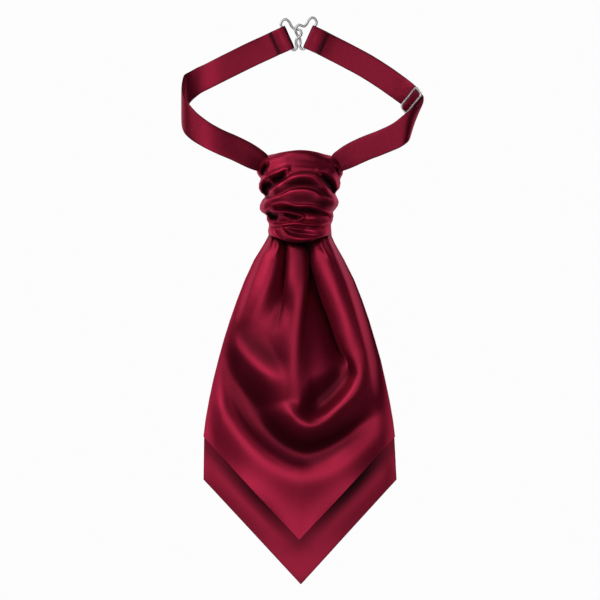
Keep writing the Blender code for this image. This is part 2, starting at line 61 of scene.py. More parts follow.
camera_data = bpy.data.cameras.new("camera")
camera_data.sensor_width = SENSOR
camera_data.lens = SENSOR * CAMERA_HEIGHT / (PICTURE_PIXELS * PIXEL_MM * MM)
camera = bpy.data.objects.new("camera", camera_data)
camera.location = (MIDDLE_X * MM, 0.8 * PIXEL_MM * MM, CAMERA_HEIGHT)
bpy.context.scene.collection.objects.link(camera)
bpy.context.scene.camera = camera
bpy.context.scene.view_settings.view_transform = "Standard"
print("camera:", round(camera_data.lens), "mm lens at", CAMERA_HEIGHT, "m")

# %% [markdown]
# Satin is a mirror for soft lights: it is bright where it faces one and dark where it slopes away. One large light
# hangs over the cravat, a little towards its clasp, so that the upper side of each fold shines and the lower side
# falls dark. A weaker one on the left opens the shadows, and the sky stays dim to keep them deep.


# %% Lights and floor
def add_softbox(name, place, size_x, size_y, radiance, target=(0.0, 0.0, 0.0)):
    """A rectangular light that faces its target. Its power follows from how bright its face looks."""
    data = bpy.data.lights.new(name, "AREA")
    data.shape = "RECTANGLE"
    data.size = size_x
    data.size_y = size_y
    data.energy = radiance * math.pi * size_x * size_y
    light = bpy.data.objects.new(name, data)
    light.location = place
    light.rotation_euler = (Vector(target) - Vector(place)).to_track_quat("-Z", "Y").to_euler()
    light.visible_camera = False
    bpy.context.scene.collection.objects.link(light)
    return light


add_softbox("overhead softbox", (-0.05, -0.20, 1.4), 1.0, 1.2, 1.6, (-0.05, -0.20, 0.0))
add_softbox("upper left softbox", (-0.85, 0.8, 1.0), 1.0, 1.0, 2.9)
world = bpy.data.worlds.new("studio")
world.use_nodes = True
world.node_tree.nodes["Background"].inputs["Color"].default_value = (1.0, 1.0, 1.0, 1.0)
world.node_tree.nodes["Background"].inputs["Strength"].default_value = 0.02
bpy.context.scene.world = world

floor_bmesh = bmesh.new()
bmesh.ops.create_grid(floor_bmesh, x_segments=1, y_segments=1, size=4.0)
floor_mesh = bpy.data.meshes.new("floor")
floor_bmesh.to_mesh(floor_mesh)
floor_bmesh.free()
floor = bpy.data.objects.new("floor", floor_mesh)
bpy.context.scene.collection.objects.link(floor)
floor_material = bpy.data.materials.new("white paper")
floor_material.use_nodes = True
floor_shader = floor_material.node_tree.nodes["Principled BSDF"]
floor_shader.inputs["Base Color"].default_value = (0.95, 0.95, 0.95, 1.0)
floor_shader.inputs["Roughness"].default_value = 0.9
floor_shader.inputs["Emission Color"].default_value = (1.0, 1.0, 1.0, 1.0)
floor_shader.inputs["Emission Strength"].default_value = 0.55
seen_paper = floor_material.node_tree.nodes.new("ShaderNodeEmission")
seen_paper.inputs["Strength"].default_value = 0.98
ray_kind = floor_material.node_tree.nodes.new("ShaderNodeLightPath")
choose = floor_material.node_tree.nodes.new("ShaderNodeMixShader")
floor_links = floor_material.node_tree.links
floor_links.new(ray_kind.outputs["Is Camera Ray"], choose.inputs["Fac"])
floor_links.new(floor_shader.outputs["BSDF"], choose.inputs[1])
floor_links.new(seen_paper.outputs["Emission"], choose.inputs[2])
floor_links.new(choose.outputs["Shader"], floor_material.node_tree.nodes["Material Output"].inputs["Surface"])
floor_mesh.materials.append(floor_material)
print("lights:", [light.name for light in bpy.data.lights])

# %% [markdown]
# Satin floats its warp threads over the weft, so its face is made of long glossy threads. A node group draws them
# from the cloth's own UV map, which is in millimetres: fine lengthwise threads, broken by slow streaks where the yarn
# is a little thicker. It gives a colour, a roughness and a height, and the satin and the stitching thread use it.
# Deep in a fold the two sides of the cloth shut out the light, so that shade is painted: each sheet carries a shade
# attribute, and the group darkens the colour with it. Below zero, on a crest, it is a painted highlight.


# %% Thread group
def new_socket(group, name, direction, kind, value=None):
    socket = group.interface.new_socket(name=name, in_out=direction, socket_type=kind)
    if value is not None:
        socket.default_value = value
    return socket


def make_thread_group():
    group = bpy.data.node_groups.new("satin threads", "ShaderNodeTree")
    new_socket(group, "Cloth mm", "INPUT", "NodeSocketVector")
    new_socket(group, "Colour", "INPUT", "NodeSocketColor")
    new_socket(group, "Roughness", "INPUT", "NodeSocketFloat", 0.4)
    new_socket(group, "Streaks", "INPUT", "NodeSocketFloat", 0.1)
    new_socket(group, "Shade", "INPUT", "NodeSocketFloat", 0.0)
    new_socket(group, "Colour", "OUTPUT", "NodeSocketColor")
    new_socket(group, "Roughness", "OUTPUT", "NodeSocketFloat")
    new_socket(group, "Height", "OUTPUT", "NodeSocketFloat")
    nodes = group.nodes
    links = group.links
    inputs = nodes.new("NodeGroupInput")
    outputs = nodes.new("NodeGroupOutput")
    along = nodes.new("ShaderNodeMapping")
    along.inputs["Scale"].default_value = (1.3, 0.45, 1.0)
    streaks = nodes.new("ShaderNodeTexNoise")
    streaks.inputs["Scale"].default_value = 1.0
    streaks.inputs["Detail"].default_value = 3.0
    threads = nodes.new("ShaderNodeTexWave")
    threads.wave_type = "BANDS"
    threads.bands_direction = "X"
    threads.inputs["Scale"].default_value = 0.9
    threads.inputs["Distortion"].default_value = 1.2
    threads.inputs["Detail"].default_value = 1.0
    tone = nodes.new("ShaderNodeMapRange")
    tone.inputs["To Min"].default_value = 0.74
    tone.inputs["To Max"].default_value = 1.26
    # Painted shade: the colour is scaled by one minus the painted shade attribute; below zero it paints a highlight.
    light = nodes.new("ShaderNodeMath")
    light.operation = "SUBTRACT"
    light.inputs[0].default_value = 1.0
    shaded = nodes.new("ShaderNodeMath")
    shaded.operation = "MULTIPLY"
    dye_with_painted_shade = nodes.new("ShaderNodeVectorMath")
    dye_with_painted_shade.operation = "SCALE"
    swing = nodes.new("ShaderNodeMath")
    swing.operation = "MULTIPLY_ADD"
    half = nodes.new("ShaderNodeMath")
    half.operation = "SUBTRACT"
    half.inputs[1].default_value = 0.5
    height = nodes.new("ShaderNodeMath")
    height.operation = "MULTIPLY_ADD"
    height.inputs[1].default_value = 0.35
    links.new(inputs.outputs["Cloth mm"], along.inputs["Vector"])
    links.new(inputs.outputs["Cloth mm"], threads.inputs["Vector"])
    links.new(along.outputs["Vector"], streaks.inputs["Vector"])
    links.new(streaks.outputs["Fac"], tone.inputs["Value"])
    links.new(inputs.outputs["Colour"], dye_with_painted_shade.inputs[0])
    links.new(inputs.outputs["Shade"], light.inputs[1])
    links.new(tone.outputs["Result"], shaded.inputs[0])
    links.new(light.outputs[0], shaded.inputs[1])
    links.new(shaded.outputs[0], dye_with_painted_shade.inputs["Scale"])
    links.new(streaks.outputs["Fac"], half.inputs[0])
    links.new(half.outputs[0], swing.inputs[0])
    links.new(inputs.outputs["Streaks"], swing.inputs[1])
    links.new(inputs.outputs["Roughness"], swing.inputs[2])
    links.new(threads.outputs["Fac"], height.inputs[0])
    links.new(streaks.outputs["Fac"], height.inputs[2])
    links.new(dye_with_painted_shade.outputs["Vector"], outputs.inputs["Colour"])
    links.new(swing.outputs[0], outputs.inputs["Roughness"])
    links.new(height.outputs[0], outputs.inputs["Height"])
    return group


thread_group = make_thread_group()
print("node group:", thread_group.name, "with", len(thread_group.nodes), "nodes")

# %% [markdown]
# The dyed face reflects light through its own colour, so a highlight on burgundy satin is a lighter burgundy and
# not white. That is half a metal: some metallic share on the shader gives coloured reflections, and the rest stays
# plain dyed cloth. A little sheen lifts the edges that turn away.


# %% Satin and metal
def cloth_material(name, colour, roughness, metallic, sheen, bump):
    material = bpy.data.materials.new(name)
    material.use_nodes = True
    nodes = material.node_tree.nodes
    links = material.node_tree.links
    shader = nodes["Principled BSDF"]
    shader.inputs["Metallic"].default_value = metallic
    shader.inputs["Sheen Weight"].default_value = sheen
    shader.inputs["Sheen Roughness"].default_value = 0.4
    shader.inputs["Sheen Tint"].default_value = (0.9, 0.25, 0.4, 1.0)
    shader.inputs["Specular IOR Level"].default_value = 0.6
    shader.inputs["Specular Tint"].default_value = (1.0, 0.65, 0.8, 1.0)
    cloth_uv = nodes.new("ShaderNodeUVMap")
    cloth_uv.uv_map = "cloth"
    threads = nodes.new("ShaderNodeGroup")
    threads.node_tree = thread_group
    threads.inputs["Colour"].default_value = (*colour, 1.0)
    threads.inputs["Roughness"].default_value = roughness
    # Reads the painted shade attribute: painted dark in folds, pockets and hems, and painted light on crests.
    depth = nodes.new("ShaderNodeAttribute")
    depth.attribute_name = "shade"
    relief = nodes.new("ShaderNodeBump")
    relief.inputs["Strength"].default_value = bump
    relief.inputs["Distance"].default_value = 0.0001
    links.new(cloth_uv.outputs["UV"], threads.inputs["Cloth mm"])
    links.new(depth.outputs["Fac"], threads.inputs["Shade"])
    links.new(threads.outputs["Colour"], shader.inputs["Base Color"])
    links.new(threads.outputs["Roughness"], shader.inputs["Roughness"])
    links.new(threads.outputs["Height"], relief.inputs["Height"])
    links.new(relief.outputs["Normal"], shader.inputs["Normal"])
    return material


def metal_material(name, colour, roughness):
    material = bpy.data.materials.new(name)
    material.use_nodes = True
    nodes = material.node_tree.nodes
    links = material.node_tree.links
    shader = nodes["Principled BSDF"]
    shader.inputs["Base Color"].default_value = (*colour, 1.0)
    shader.inputs["Metallic"].default_value = 1.0
    place = nodes.new("ShaderNodeTexCoord")
    wear = nodes.new("ShaderNodeTexNoise")
    wear.inputs["Scale"].default_value = 900.0
    spread = nodes.new("ShaderNodeMapRange")
    spread.inputs["To Min"].default_value = roughness * 0.7
    spread.inputs["To Max"].default_value = roughness * 1.3
    links.new(place.outputs["Object"], wear.inputs["Vector"])
    links.new(wear.outputs["Fac"], spread.inputs["Value"])
    links.new(spread.outputs["Result"], shader.inputs["Roughness"])
    return material


satin = cloth_material("burgundy satin", (0.33, 0.0125, 0.042), 0.45, 0.88, 0.1, 0.12)
# The stitch thread is drawn far darker than the satin: burgundy thread together with the painted shade of the sunken
# stitch line.
stitch_thread = cloth_material("burgundy thread", (0.05, 0.002, 0.006), 0.6, 0.1, 0.1, 0.0)
nickel = metal_material("nickel wire", (0.70, 0.70, 0.71), 0.5)
print("materials:", satin.name, stitch_thread.name, nickel.name)

# %% [markdown]
# Every fold below is a soft line with a height. Such a line is a short table of points with a strength at each, and
# a spline carries it smoothly from point to point. A place on the cloth then asks each line how far away it is and on
# which side, and takes a share of its height that fades with the distance.


# %% Smooth lines and soft folds
NEARNESS = 0.6
TOOTH_ROUNDING = 1.2


def smooth_rows(rows, steps):
    """A Catmull-Rom curve through the rows of a table, with a number of steps between rows."""
    table = np.array(rows, dtype=float)
    padded = np.vstack([table[:1], table, table[-1:]])
    out = []
    for i in range(len(table) - 1):
        before, start, end, after = padded[i : i + 4]
        for t in np.arange(steps) / steps:
            slope_in = 0.5 * (end - before)
            slope_out = 0.5 * (after - start)
            out.append(
                (2 * t**3 - 3 * t**2 + 1) * start
                + (t**3 - 2 * t**2 + t) * slope_in
                + (3 * t**2 - 2 * t**3) * end
                + (t**3 - t**2) * slope_out
            )
    out.append(table[-1])
    return np.array(out)


def read_curve(values, place):
    """Read a smooth curve through evenly spaced values at places from 0 to 1."""
    dense = smooth_rows([(v,) for v in values], 24)[:, 0]
    return np.interp(np.clip(place, 0.0, 1.0), np.linspace(0.0, 1.0, len(dense)), dense)


def fold_amount(height, left, right, crest, points, x, y):
    """Height that one fold gives at places x and y. Left and right are its widths, seen along its points.

    A crest of 2 is round, and a larger one is flat on top with steeper sides. With a crest of 0 the fold is a saw
    tooth: steep on the left, and an even slope on the right.
    """
    path = smooth_rows(points, 6)
    distances = []
    sides = []
    strengths = []
    for (ax, ay, sa), (bx, by, sb) in zip(path, path[1:]):
        dx = bx - ax
        dy = by - ay
        share = np.clip(((x - ax) * dx + (y - ay) * dy) / (dx * dx + dy * dy + 1e-12), 0.0, 1.0)
        away_x = x - ax - share * dx
        away_y = y - ay - share * dy
        distances.append(np.hypot(away_x, away_y))
        sides.append(dx * away_y - dy * away_x > 0)
        strengths.append(sa + share * (sb - sa))
    best = np.min(distances, axis=0)
    weights = np.exp(-(np.array(distances) - best) / NEARNESS)
    weights /= weights.sum(axis=0)
    strength = (weights * np.array(strengths)).sum(axis=0)
    on_left = (weights * np.array(sides)).sum(axis=0)
    if crest == 0:
        run = np.hypot(best, TOOTH_ROUNDING) - TOOTH_ROUNDING
        tooth = np.exp(-((best / left) ** 2)) * on_left + np.clip(1 - run / right, 0, 1) * (1 - on_left)
        return height * strength * tooth
    width = left * on_left + right * (1 - on_left)
    return height * strength * np.exp(-((best / width) ** crest))


def overhang(shift, width, points, x, y):
    """Sideways move of places x and y that rolls the cloth on the left of a line over that line."""
    path = smooth_rows(points, 6)
    best = np.full(x.shape, 1e9)
    move_x = np.zeros(x.shape)
    move_y = np.zeros(x.shape)
    for (ax, ay, sa), (bx, by, sb) in zip(path, path[1:]):
        dx = bx - ax
        dy = by - ay
        length = math.hypot(dx, dy)
        share = np.clip(((x - ax) * dx + (y - ay) * dy) / length**2, 0.0, 1.0)
        away_x = x - ax - share * dx
        away_y = y - ay - share * dy
        distance = np.hypot(away_x, away_y)
        left_of = (dx * away_y - dy * away_x) / length
        amount = shift * (sa + share * (sb - sa)) * np.exp(-(((left_of - width) / width) ** 2)) * (left_of > 0)
        nearer = distance < best
        best = np.where(nearer, distance, best)
        move_x = np.where(nearer, amount * dy / length, move_x)
        move_y = np.where(nearer, -amount * dx / length, move_y)
    return move_x, move_y


def gather_folds(table, x, y, power=3.0):
    """Blend a table of folds: the tallest one at a place counts most."""
    total = np.zeros(x.shape)
    for _, height, left, right, crest, points in table:
        total += np.maximum(fold_amount(height, left, right, crest, points, x, y), 0.0) ** power
    return total ** (1.0 / power)


def fold_shade(ridges, valleys, full_depth, full_height):
    """Painted shade from the summed folds: up to 0.88 in a full valley, and a little below 0, a painted highlight, on
    a full crest.
    """
    dark = np.clip((valleys - 0.35 * ridges) / full_depth, 0, 1) ** 1.3
    glow = np.clip((ridges - valleys) / full_height, 0, 1) ** 3
    return 0.88 * dark - 0.2 * glow


# %% [markdown]
# A panel of cloth starts as a flat grid, as bmesh makes it. Each point of the grid has two places, across the panel
# and down it, and a function turns these into a place in the room. The same two places, in millimetres of cloth, are
# its UV map. Solidify then gives the sheet its wall, and the piece takes the place of its solid.


# %% Cloth from a grid
def cloth_grid(name, columns, rows, place, cloth_size, smoothing=0):
    """A sheet of columns by rows faces. place turns across and down, from 0 to 1, into x, y, z in mm and a shade."""
    sheet = bmesh.new()
    bmesh.ops.create_grid(sheet, x_segments=columns, y_segments=rows, size=1.0)
    sheet.verts.ensure_lookup_table()
    across = np.array([(v.co.x + 1) / 2 for v in sheet.verts])
    down = np.array([(1 - v.co.y) / 2 for v in sheet.verts])
    x, y, z, shades = place(across, down)
    cloth = sheet.loops.layers.uv.new("cloth")
    for face in sheet.faces:
        face.smooth = True
        for loop in face.loops:
            i = loop.vert.index
            loop[cloth].uv = (across[i] * cloth_size[0], down[i] * cloth_size[1])
    shade = sheet.verts.layers.float.new("shade")
    for vert, px, py, pz, dark in zip(sheet.verts, x, y, z, shades):
        vert.co = ((px + MIDDLE_X) * MM, py * MM, pz * MM)
        vert[shade] = float(dark)
    inner = [vert for vert in sheet.verts if not vert.is_boundary]
    for _ in range(smoothing):
        bmesh.ops.smooth_vert(sheet, verts=inner, factor=0.5, use_axis_x=True, use_axis_y=True, use_axis_z=True)
    return sheet


def finish_piece(name, sheet, material, nodes, wall=None, offset=-1.0, rim=None):
    mesh = bpy.data.meshes.new(name)
    sheet.to_mesh(mesh)
    sheet.free()
    mesh.materials.append(material)
    piece = bpy.data.objects.new(name, mesh)
    bpy.context.scene.collection.objects.link(piece)
    if wall:
        solid = piece.modifiers.new("cloth wall", "SOLIDIFY")
        solid.thickness = wall * MM
        solid.offset = offset
    if rim:
        rounding = piece.modifiers.new("rounded rim", "BEVEL")
        rounding.width = rim * MM
        rounding.segments = 2
        rounding.limit_method = "ANGLE"
        rounding.angle_limit = math.radians(60)
        rounding.harden_normals = True
    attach(piece, "root")
    if nodes:
        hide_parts(*nodes)
    print(name, "has", len(mesh.polygons), "faces")
    return piece


# %% [markdown]
# The outline of both tails is one table: half the width on each side, at heights from the knot down to the corners.
# Below its corners each tail ends in a point. The rows of the grid sag into the same point, so that the threads run
# down the tail as they do on cloth cut on the bias.

# %% Outline of the tails
TAIL_WIDTHS = (
    # y, left, right
    (52.0, 25.2, 25.2),
    (46.0, 28.5, 27.8),
    (32.6, 36.8, 35.4),
    (16.6, 44.2, 43.4),
    (0.6, 50.4, 49.7),
    (-15.4, 56.0, 55.2),
    (-31.4, 61.0, 60.0),
    (-47.4, 65.4, 64.6),
    (-63.4, 69.4, 68.2),
    (-79.4, 72.8, 71.6),
    (-95.4, 75.6, 74.4),
    (-109.0, 77.3, 76.1),
    (-143.0, 77.8, 77.9),
)
FRONT_TAIL = {"corner_y": -108.5, "tip_x": -0.5, "tip_y": -191.0}
BACK_TAIL = {"corner_y": -143.0, "tip_x": 0.7, "tip_y": -226.9}
POINT_ROUNDING = 0.25


def tail_outline(tail, top_y, across, down, inset=0.0):
    """Plan place of a point of a tail. across runs from -1 to 1, and down from 0 at the knot to 1."""
    edge_y = top_y + down * (tail["corner_y"] - top_y)
    heights = [row[0] for row in reversed(TAIL_WIDTHS)]
    left = np.interp(edge_y, heights, [row[1] for row in reversed(TAIL_WIDTHS)])
    right = np.interp(edge_y, heights, [row[2] for row in reversed(TAIL_WIDTHS)])
    half = np.where(across < 0, left, right) - inset
    point = 1 - np.abs(across)
    rounded = math.hypot(1, POINT_ROUNDING) - np.hypot(across, POINT_ROUNDING)
    point = point + (rounded - point) * (1 - down**6)
    end_y = tail["corner_y"] + point * (tail["tip_y"] - tail["corner_y"])
    x = across * half + tail["tip_x"] * (1 - np.abs(across)) * down
    y = top_y + down * (end_y - top_y)
    return x, y


print("tails:", 2 * TAIL_WIDTHS[-1][1], "mm wide")

# %% [markdown]
# The back tail lies flat on the table. Only its border shows, with a slow wave in it, so it is a low sheet with
# almost no relief.

# %% Back tail
BACK_TAIL_HEIGHT = 1.7
BACK_TAIL_WAVES = (
    # name, height, left width, right width, crest, points of x, y and strength
    ("left swell", 1.6, 8.0, 15.0, 2.0,
     ((-74, -130, 0.0), (-63, -141, 0.8), (-46, -160, 1.0), (-28, -179, 1.0), (-12, -196, 0.3), (-4, -205, 0.0))),
    ("right swell", 1.8, 15.0, 8.0, 2.0,
     ((74, -128, 0.0), (64, -139, 0.9), (48, -156, 1.0), (30, -175, 1.0), (13, -195, 0.3), (5, -205, 0.0))),
)
# Painted shadow that the lifted hem of the front tail casts on the back tail, and painted shade along the back tail's
# rounded border.
PAINTED_SHADOW_UNDER_THE_HEM = (
    # name, shade, left width, right width, crest, points of x, y and strength
    ("left hem", 0.86, 12.0, 7.5, 2.0,
     ((-77, -110, 0.5), (-66, -123, 0.8), (-50, -140, 0.9), (-32, -159, 1.0), (-14, -178, 0.8), (-0.5, -192, 0.5))),
    ("right hem", 0.95, 10.0, 12.0, 2.0,
     ((77, -110, 0.4), (66, -122, 0.8), (52, -137, 1.0), (37, -153, 1.0), (17, -174, 0.8), (-0.5, -192, 0.5))),
    ("border", 0.35, 3.5, 3.5, 2.0,
     ((-77.5, -138, 0.5), (-77.2, -143, 1.0), (-38, -185, 0.7), (0.7, -226, 1.0), (39, -184, 0.7),
      (77.2, -143, 1.0), (77.5, -138, 0.5))),
)


def place_back_tail(across, down):
    across = across * 2 - 1
    x, y = tail_outline(BACK_TAIL, 47.0, across, down, 0.6)
    waves = gather_folds(BACK_TAIL_WAVES, x, y)
    hem = np.sin(math.pi / 2 * np.clip((1 - np.abs(across)) / 0.12, 0, 1))
    hem = hem * np.sin(math.pi / 2 * np.clip((1 - down) / 0.08, 0, 1))
    return x, y, BACK_TAIL_HEIGHT + waves * hem, gather_folds(PAINTED_SHADOW_UNDER_THE_HEM, x, y)


back_sheet = cloth_grid("tail-back", 70, 90, place_back_tail, (155.7, 270.0))
back_tail = finish_piece("tail-back", back_sheet, satin, ["tail_back"], wall=1.5, rim=0.6)

# %% [markdown]
# The front tail carries the big folds. Pleats come out of the knot and spread, and where the cloth has more length
# than it needs, it sags in three cowls, one inside the other. Each fold is a row of the table, with a steep side
# where the cloth rolls over and a long side where it runs out.

# %% Folds of the front tail
RIDGES = (
    # name, height, left width, right width, crest, points of x, y and strength
    ("central pleat", 8.0, 6.4, 7.0, 2.2,
     ((0.2, 50, 1.0), (0.0, 31, 1.0), (-1.6, 8.6, 1.0), (-3.0, -15, 0.6), (-4.6, -38, 0.2), (-5.6, -55, 0.0))),
    ("tongue of the central pleat", 5.0, 11.0, 13.0, 2.0,
     ((-2.0, 12, 0.0), (-3.4, -10, 0.7), (-4.6, -32, 1.0), (-5.0, -55, 0.8), (-5.6, -76, 0.4), (-7.0, -92, 0.0))),
    ("left pleat", 6.0, 12.0, 20.0, 2.2,
     ((-17.0, 50, 0.8), (-24.0, 25, 1.0), (-34.0, 4, 1.0), (-43.0, -12, 0.7), (-50.0, -27, 0.4),
      (-52.0, -36, 0.0))),
    ("right pleat", 8.0, 28.0, 8.5, 2.0,
     ((15.6, 50, 0.9), (19.4, 31, 1.0), (25.0, 17, 1.0), (30.5, 3, 1.0), (36.5, -13.0, 1.0),
      (40.4, -27.0, 1.0), (44.0, -39, 0.95), (46.6, -50.0, 0.85), (47.0, -62.0, 0.0))),
    ("left cowl", 5.5, 15.0, 16.0, 2.0,
     ((-55.0, -16, 0.0), (-52.6, -27, 0.6), (-50.0, -37, 0.9), (-42.0, -48.5, 1.0), (-31.6, -57, 1.0),
      (-20.0, -61.6, 0.8), (-4.0, -66, 0.0))),
    ("inner cowl", 9.5, 17.0, 10.0, 1.8,
     ((46.2, -38, 0.0), (47.0, -51.4, 0.8), (45.6, -63.4, 0.95), (40.0, -74, 1.0), (30.4, -85.4, 1.0),
      (20.0, -95.4, 1.0), (10.4, -99.4, 1.0), (0.8, -97.6, 0.95), (-8.0, -90, 0.7), (-15.0, -78, 0.0))),
    ("outer cowl", 5.5, 10.0, 34.0, 1.8,
     ((-62.0, -48, 0.0), (-58.0, -70, 0.6), (-51.0, -91, 0.9), (-40.0, -108, 1.0), (-22.4, -123.6, 1.0),
      (0.8, -134.4, 1.0), (20.0, -130.6, 1.0), (40.0, -118.6, 0.95), (56.0, -106, 0.7), (70.0, -92, 0.0))),
)
VALLEYS = (
    # name, depth, left width, right width, crest, points of x, y and strength
    ("left of the central pleat", 9.0, 5.0, 13.0, 1.1,
     ((-8.6, 54, 1.0), (-9.2, 31, 1.0), (-11.0, 12, 0.8), (-14.0, -4, 0.5), (-18.0, -18, 0.25),
      (-23.0, -32, 0.0))),
    ("right of the central pleat", 11.0, 6.0, 14.0, 1.1,
     ((7.4, 52, 1.0), (10.0, 31, 1.0), (14.4, 16.6, 1.0), (18.8, 2.2, 1.0), (25.0, -13.8, 1.0),
      (29.6, -27.4, 1.0), (34.0, -39.4, 1.0), (38.0, -49, 0.7), (41.0, -60, 0.0))),
    ("left pocket", 1.6, 12.0, 26.0, 2.0,
     ((-3.0, -58, 0.0), (-14.0, -55, 0.5), (-25.0, -51.0, 0.9), (-34.6, -43.4, 1.0), (-42.0, -34, 1.0),
      (-46.0, -24, 0.7), (-49.0, -12, 0.0))),
    ("right pocket", 7.0, 9.0, 14.0, 2.0,
     ((36.0, -42, 0.0), (37.4, -52, 0.8), (35.6, -62, 1.0), (30.4, -70, 1.0), (22.4, -78.0, 1.0),
      (14.4, -83, 0.9), (6.0, -84.0, 0.4), (-2.0, -82, 0.0))),
    ("great valley", 7.5, 26.0, 10.0, 2.0,
     ((-66.0, -20, 0.0), (-62.0, -40, 0.5), (-57.0, -61, 0.8), (-51.0, -79, 0.9), (-43.0, -94.6, 0.9),
      (-31.4, -109, 0.85), (-17.0, -121, 0.75), (0.0, -128, 0.7), (17.0, -126.0, 0.7), (33.0, -117, 0.75),
      (49.0, -106, 0.7), (67.0, -93, 0.0))),
)
# Painted shade in the valleys and pockets of the front tail, where the folds shut out the light.
TAIL_SHADES = (
    # name, shade, left width, right width, crest, points of x, y and strength
    ("inside the left pocket", 0.65, 9.0, 9.0, 2.0,
     ((-51.0, -14, 0.0), (-45.0, -26, 0.8), (-37.0, -34, 1.0), (-27.0, -41.6, 1.0), (-17.0, -47, 0.8),
      (-8.0, -51, 0.0))),
    ("below the left cowl", 0.6, 9.0, 6.0, 2.0,
     ((-53.6, -22, 0.0), (-53.6, -40, 0.8), (-47.0, -56, 0.7), (-37.0, -66, 0.6), (-24.0, -72, 0.0))),
    ("foot of the great valley", 0.7, 9.0, 4.0, 2.0,
     ((-62.0, -40, 0.0), (-57.0, -61, 0.6), (-51.0, -80, 0.9), (-42.6, -96, 1.0), (-30.4, -110, 1.0),
      (-16.0, -122.6, 1.0), (0.0, -130, 1.0), (17.0, -127.0, 1.0), (33.0, -118, 0.9), (49.0, -107, 0.5),
      (60.0, -98, 0.0))),
    ("great valley", 0.7, 17.0, 8.0, 2.0,
     ((-56.0, -48, 0.0), (-46.0, -66, 0.5), (-34.0, -86, 0.9), (-24.0, -103, 1.0), (-10.0, -116, 1.0),
      (6.0, -118, 0.9), (22.0, -112, 0.8), (40.0, -102.6, 0.7), (56.0, -90, 0.0))),
    ("by the right pleat", 0.92, 3.0, 10.0, 2.0,
     ((7.4, 52, 1.0), (10.0, 31, 1.0), (14.4, 16.6, 1.0), (18.8, 2.2, 1.0), (25.0, -13.8, 1.0),
      (29.6, -27.4, 0.9), (33.6, -39.4, 0.7), (37.0, -49, 0.3), (39.0, -58, 0.0))),
    ("by the left pleat", 0.85, 3.6, 4.6, 2.0,
     ((-8.8, 54, 1.0), (-9.6, 31, 1.0), (-11.6, 12, 0.8), (-14.6, -4, 0.55), (-19.0, -18, 0.4),
      (-24.0, -32, 0.0))),
    ("right border", 0.16, 5.0, 4.0, 2.0,
     ((29.0, 44, 0.6), (44.0, 10, 0.9), (52.0, -15, 1.0), (58.0, -43, 1.0), (63.0, -73, 0.6), (66.0, -86, 0.0))),
    ("inside the inner cowl", 0.75, 9.0, 12.0, 2.0,
     ((38.0, -40, 0.0), (34.0, -58, 0.7), (26.0, -70, 1.0), (16.0, -80, 1.0), (4.0, -86, 0.5), (-3.0, -86, 0.0))),
)
# Painted highlights along the crests and broad faces of the front tail.
TAIL_GLINTS = (
    # name, glint, left width, right width, crest, points of x, y and strength
    ("left cowl", 0.8, 3.4, 2.6, 2.0,
     ((-52.6, -22, 0.0), (-50.4, -28, 0.5), (-48.0, -36, 0.9), (-40.0, -46.5, 1.0), (-30.4, -54.4, 0.9),
      (-20.0, -59, 0.4), (-10.0, -61, 0.0))),
    ("inner cowl", 0.3, 5.0, 4.0, 2.0,
     ((46.2, -38, 0.0), (47.0, -51.4, 0.6), (45.6, -63.4, 0.9), (40.0, -74, 1.0), (30.4, -85.4, 1.0),
      (20.0, -95.4, 1.0), (10.4, -99.4, 1.0), (0.8, -97.6, 0.8), (-8.0, -90, 0.5), (-14.0, -80, 0.0))),
    ("outer cowl", 0.4, 6.0, 9.0, 2.0,
     ((-60.0, -56, 0.0), (-57.0, -74, 0.5), (-50.0, -93, 0.8), (-40.0, -109, 1.0), (-22.4, -124.6, 1.0),
      (0.8, -135.4, 1.0), (20.0, -131.6, 1.0), (40.0, -119.6, 0.9), (56.0, -107, 0.5), (66.0, -97, 0.0))),
    ("tip", 0.4, 24.0, 24.0, 2.0, ((-62.0, -96, 0.6), (-40.0, -132, 1.0), (-4.0, -170, 1.0), (2.0, -182, 0.8))),
    ("right pleat", 0.3, 7.0, 7.0, 2.0,
     ((18.0, 40, 0.6), (28.0, 14, 1.0), (38.0, -14, 1.0), (45.0, -36, 0.8), (47.0, -48, 0.0))),
    ("left pleat", 0.3, 13.0, 13.0, 2.0,
     ((-30.0, 34, 0.3), (-36.0, 18, 0.8), (-43.0, 0, 1.0), (-48.0, -14, 0.7), (-54.0, -30, 0.0))),
    ("beyond the right pleat", 0.4, 6.0, 5.0, 2.0,
     ((30.0, 30, 0.0), (40.0, 4, 0.6), (48.4, -23, 1.0), (53.6, -45, 1.0), (58.0, -68, 0.8), (62.0, -86, 0.0))),
    ("left border", 0.5, 8.0, 8.0, 2.0, ((-64.0, -60, 0.0), (-67.0, -84, 1.0), (-70.0, -104, 1.0))),
)
PUCKERS = (
    # name, height, left width, right width, crest, points of x, y and strength
    ("left pucker", 2.2, 1.6, 2.6, 2.0, ((-17.5, 49, 1.0), (-17.0, 43, 0.9), (-20.0, 36, 0.2))),
    ("far left pucker", 2.0, 2.0, 3.0, 2.0, ((-23.0, 50, 1.0), (-25.0, 44, 0.8), (-29.0, 37, 0.2))),
    ("right pucker", 2.2, 2.6, 1.6, 2.0, ((17.5, 49, 1.0), (18.5, 43, 0.9), (23.0, 35, 0.2))),
    ("far right pucker", 2.0, 3.0, 2.0, 2.0, ((23.0, 51, 1.0), (26.0, 44, 0.8), (30.0, 38, 0.2))),
)
